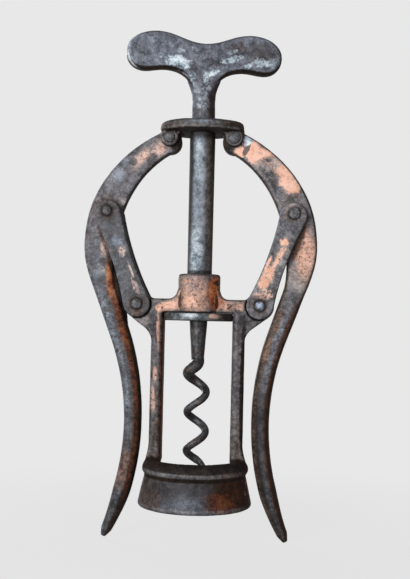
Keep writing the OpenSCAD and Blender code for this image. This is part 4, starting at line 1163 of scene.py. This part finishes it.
def makeRivetTree():
    ins = [
        ("Geometry", "Geometry"), ("Head Radius", "Float"), ("Rim", "Float"), ("Dome", "Float"),
        ("Stub Radius", "Float"), ("Stub Length", "Float"), ("Dent", "Float"), ("Seed", "Int"),
        ("Finish", "Material"),
    ]
    tree, start, end = makeGroup("rivetHeads", "GeometryNodeTree", ins, [("Geometry", "Geometry")])
    position = outOf(tree, "GeometryNodeInputPosition")
    given = {
        "Vertices": rivetMesh["sides"], "Side Segments": rivetMesh["rims"],
        "Fill Segments": rivetMesh["rings"], "Radius": start["Head Radius"], "Depth": start["Rim"],
    }
    plate = addNode(tree, "GeometryNodeMeshCylinder", given).outputs["Mesh"]
    parts = addNode(tree, "ShaderNodeSeparateXYZ", {0: position}).outputs
    flat = outOf(tree, "ShaderNodeCombineXYZ", {0: parts["X"], 1: parts["Y"]})
    reach = calc(tree, "DIVIDE", vectorCalc(tree, "LENGTH", flat, output="Value"), start["Head Radius"])
    bulge = calc(tree, "SUBTRACT", 1.0, calc(tree, "POWER", reach, rivetMesh["domePower"]))
    above = calc(tree, "GREATER_THAN", parts["Z"], 0.0)
    rise = calc(tree, "MULTIPLY", calc(tree, "MULTIPLY", bulge, above), start["Dome"])
    lift = calc(tree, "MULTIPLY_ADD", start["Rim"], 0.5, rise)
    lifted = outOf(tree, "ShaderNodeCombineXYZ", {2: lift})
    head = outOf(tree, "GeometryNodeSetPosition", {"Geometry": plate, "Offset": lifted})
    given = {
        "Vertices": rivetMesh["stubSides"], "Radius": start["Stub Radius"], "Depth": start["Stub Length"],
    }
    pin = addNode(tree, "GeometryNodeMeshCylinder", given).outputs["Mesh"]
    halfDown = calc(tree, "MULTIPLY", start["Stub Length"], -0.5)
    drop = outOf(tree, "ShaderNodeCombineXYZ", {2: halfDown})
    stub = outOf(tree, "GeometryNodeTransform", {"Geometry": pin, "Translation": drop})
    both = addNode(tree, "GeometryNodeJoinGeometry")
    for part in (head, stub):
        plug(tree, part, both.inputs[0])
    sized = outOf(tree, "GeometryNodeTransform", {"Geometry": both.outputs[0], "Scale": (mm, mm, mm)})
    tilt = calc(tree, "MULTIPLY", calc(tree, "SIGN", parts["Y"]), -math.pi / 2)
    random = addNode(tree, "FunctionNodeRandomValue", data_type="FLOAT")
    spinSockets = [s for s in random.inputs if s.enabled]
    for socket, source in zip(spinSockets, (0.0, math.tau)):
        socket.default_value = source
    plug(tree, start["Seed"], next(s for s in spinSockets if s.name == "Seed"))
    turn = outOf(tree, "ShaderNodeCombineXYZ", {0: tilt})
    given = {"Points": start["Geometry"], "Instance": sized, "Rotation": turn}
    heads = outOf(tree, "GeometryNodeInstanceOnPoints", given)
    drawn = next(s for s in random.outputs if s.enabled)
    spin = outOf(tree, "ShaderNodeCombineXYZ", {2: drawn})
    given = {"Instances": heads, "Rotation": spin, "Local Space": True}
    spun = outOf(tree, "GeometryNodeRotateInstances", given)
    plain = outOf(tree, "GeometryNodeRealizeInstances", {"Geometry": spun})
    spot = scaled(tree, position, 1 / mm)
    noise = cloud(tree, spot, rivetMesh["dentScale"], rivetMesh["dentDetail"])
    dents = calc(tree, "SUBTRACT", noise, noiseMiddle)
    push = calc(tree, "MULTIPLY", calc(tree, "MULTIPLY", dents, start["Dent"]), mm)
    normal = outOf(tree, "GeometryNodeInputNormal")
    given = {"Geometry": plain, "Offset": scaled(tree, normal, push)}
    worked = outOf(tree, "GeometryNodeSetPosition", given)
    endTree(tree, worked, start["Finish"], end)
    return tree


rivetTree = makeRivetTree()
rivetFinish = makeFinish(rivetLook)


def rivetPair(name, body, nodes, headRadius, stub=None):
    points = []
    for node in nodes:
        low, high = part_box(node)
        middle = (low + high) / 2
        bearing = high.y - rivetSolid["headHeight"] * mm
        points += [(middle.x, y, middle.z) for y in (-bearing, bearing)]
    mesh = bpy.data.meshes.new(name)
    mesh.from_pydata(points, [], [])
    pair = newPiece(name, mesh)
    stubLength = stub or bearing / mm - rivetSolid["clear"]
    given = {**rivetSize, "Head Radius": headRadius, "Stub Length": stubLength, "Finish": rivetFinish}
    giveTree(pair, rivetTree, given)
    settle(pair)
    handOver(pair, body, "rivet", *nodes)


elbowStub = 2.4  # mm, within the link's thickness and clear of the lever
headRadii = {  # mm
    "collar": {"left": 2.05, "right": 2.3}, "frame": 1.9, "elbow": {"left": 1.75, "right": 2.05},
}
for sideName, radius in headRadii["collar"].items():
    rivetPair("collarRivet." + sideName, "collar", ("collar_rivet_" + sideName,), radius)
rivetPair("frameRivets", "frame", ("frame_rivet_left", "frame_rivet_right"), headRadii["frame"])
for sideName, radius in headRadii["elbow"].items():
    nodes = ("elbow_rivet_" + sideName,)
    rivetPair("elbowRivet." + sideName, "links_" + sideName, nodes, radius, elbowStub)
print("rivets headed")


# pale floor, backdrop and soft light
stageLook = {
    "backdrop": colour(232, 232, 232), "ambient": colour(112, 112, 114),
    "floorSize": 6.0, "floorDrop": 0.3 * mm, "floorTone": colour(226, 226, 226),
    "shadowShare": 0.09, "shadowReach": (0.05, 0.22),  # m
}
lamps = {
    "key": {"towards": (-0.42, -0.9, 0.12), "distance": 0.7, "size": 0.34, "watts": 3.9},
    "fill": {"towards": (0.75, -0.75, 0.15), "distance": 0.9, "size": 0.6, "watts": 0.5},
    "rear": {"towards": (-0.5, 0.85, 0.2), "distance": 0.8, "size": 0.5, "watts": 4.2},
}


def seenAsBackdrop(tree):
    path = addNode(tree, "ShaderNodeLightPath").outputs
    seen = calc(tree, "MAXIMUM", path["Is Camera Ray"], path["Is Glossy Ray"])
    return calc(tree, "MAXIMUM", seen, path["Is Transmission Ray"])


def makeWorld(look):
    world = bpy.data.worlds.new("studio")
    world.use_nodes = True
    scene.world = world
    tree = world.node_tree
    tree.nodes.clear()
    shown = mixColour(tree, seenAsBackdrop(tree), look["ambient"], look["backdrop"])
    background = outOf(tree, "ShaderNodeBackground", {"Color": shown})
    addNode(tree, "ShaderNodeOutputWorld", {"Surface": background})


def makeFloor(look, height):
    half = look["floorSize"] / 2
    mesh = bpy.data.meshes.new("floor")
    corners = [(x * half, y * half, height) for x, y in ((-1, -1), (1, -1), (1, 1), (-1, 1))]
    mesh.from_pydata(corners, [], [(0, 1, 2, 3)])
    floor = newPiece("floor", mesh)
    material = bpy.data.materials.new("floorPaper")
    material.use_nodes = True
    tree = material.node_tree
    tree.nodes.clear()
    place = addNode(tree, "ShaderNodeTexCoord").outputs["Object"]
    away = vectorCalc(tree, "LENGTH", vectorCalc(tree, "MULTIPLY", place, (1, 1, 0)), output="Value")
    near, far = look["shadowReach"]
    shade = remap(tree, away, near, far, look["shadowShare"], 0.0)
    glow = calc(tree, "MULTIPLY", seenAsBackdrop(tree), calc(tree, "SUBTRACT", 1.0, shade))
    paper = outOf(tree, "ShaderNodeBsdfDiffuse", {"Color": look["floorTone"]})
    backdrop = outOf(tree, "ShaderNodeEmission", {"Color": look["backdrop"]})
    mixed = outOf(tree, "ShaderNodeMixShader", {0: glow, 1: paper, 2: backdrop})
    addNode(tree, "ShaderNodeOutputMaterial", {"Surface": mixed})
    mesh.materials.append(material)


def makeLamp(name, look, middle):
    data = bpy.data.lights.new(name, "AREA")
    data.energy = look["watts"]
    data.size = look["size"]
    lamp = bpy.data.objects.new(name, data)
    towards = Vector(look["towards"]).normalized()
    lamp.location = middle + towards * look["distance"]
    lamp.rotation_mode = "QUATERNION"
    lamp.rotation_quaternion = towards.to_track_quat("Z", "Y")
    lamp.visible_camera = False
    scene.collection.objects.link(lamp)


makeWorld(stageLook)
makeFloor(stageLook, cadBox[0].z - stageLook["floorDrop"])
for lampName, lampLook in lamps.items():
    makeLamp(lampName, lampLook, (cadBox[0] + cadBox[1]) / 2)
print("stage lit")
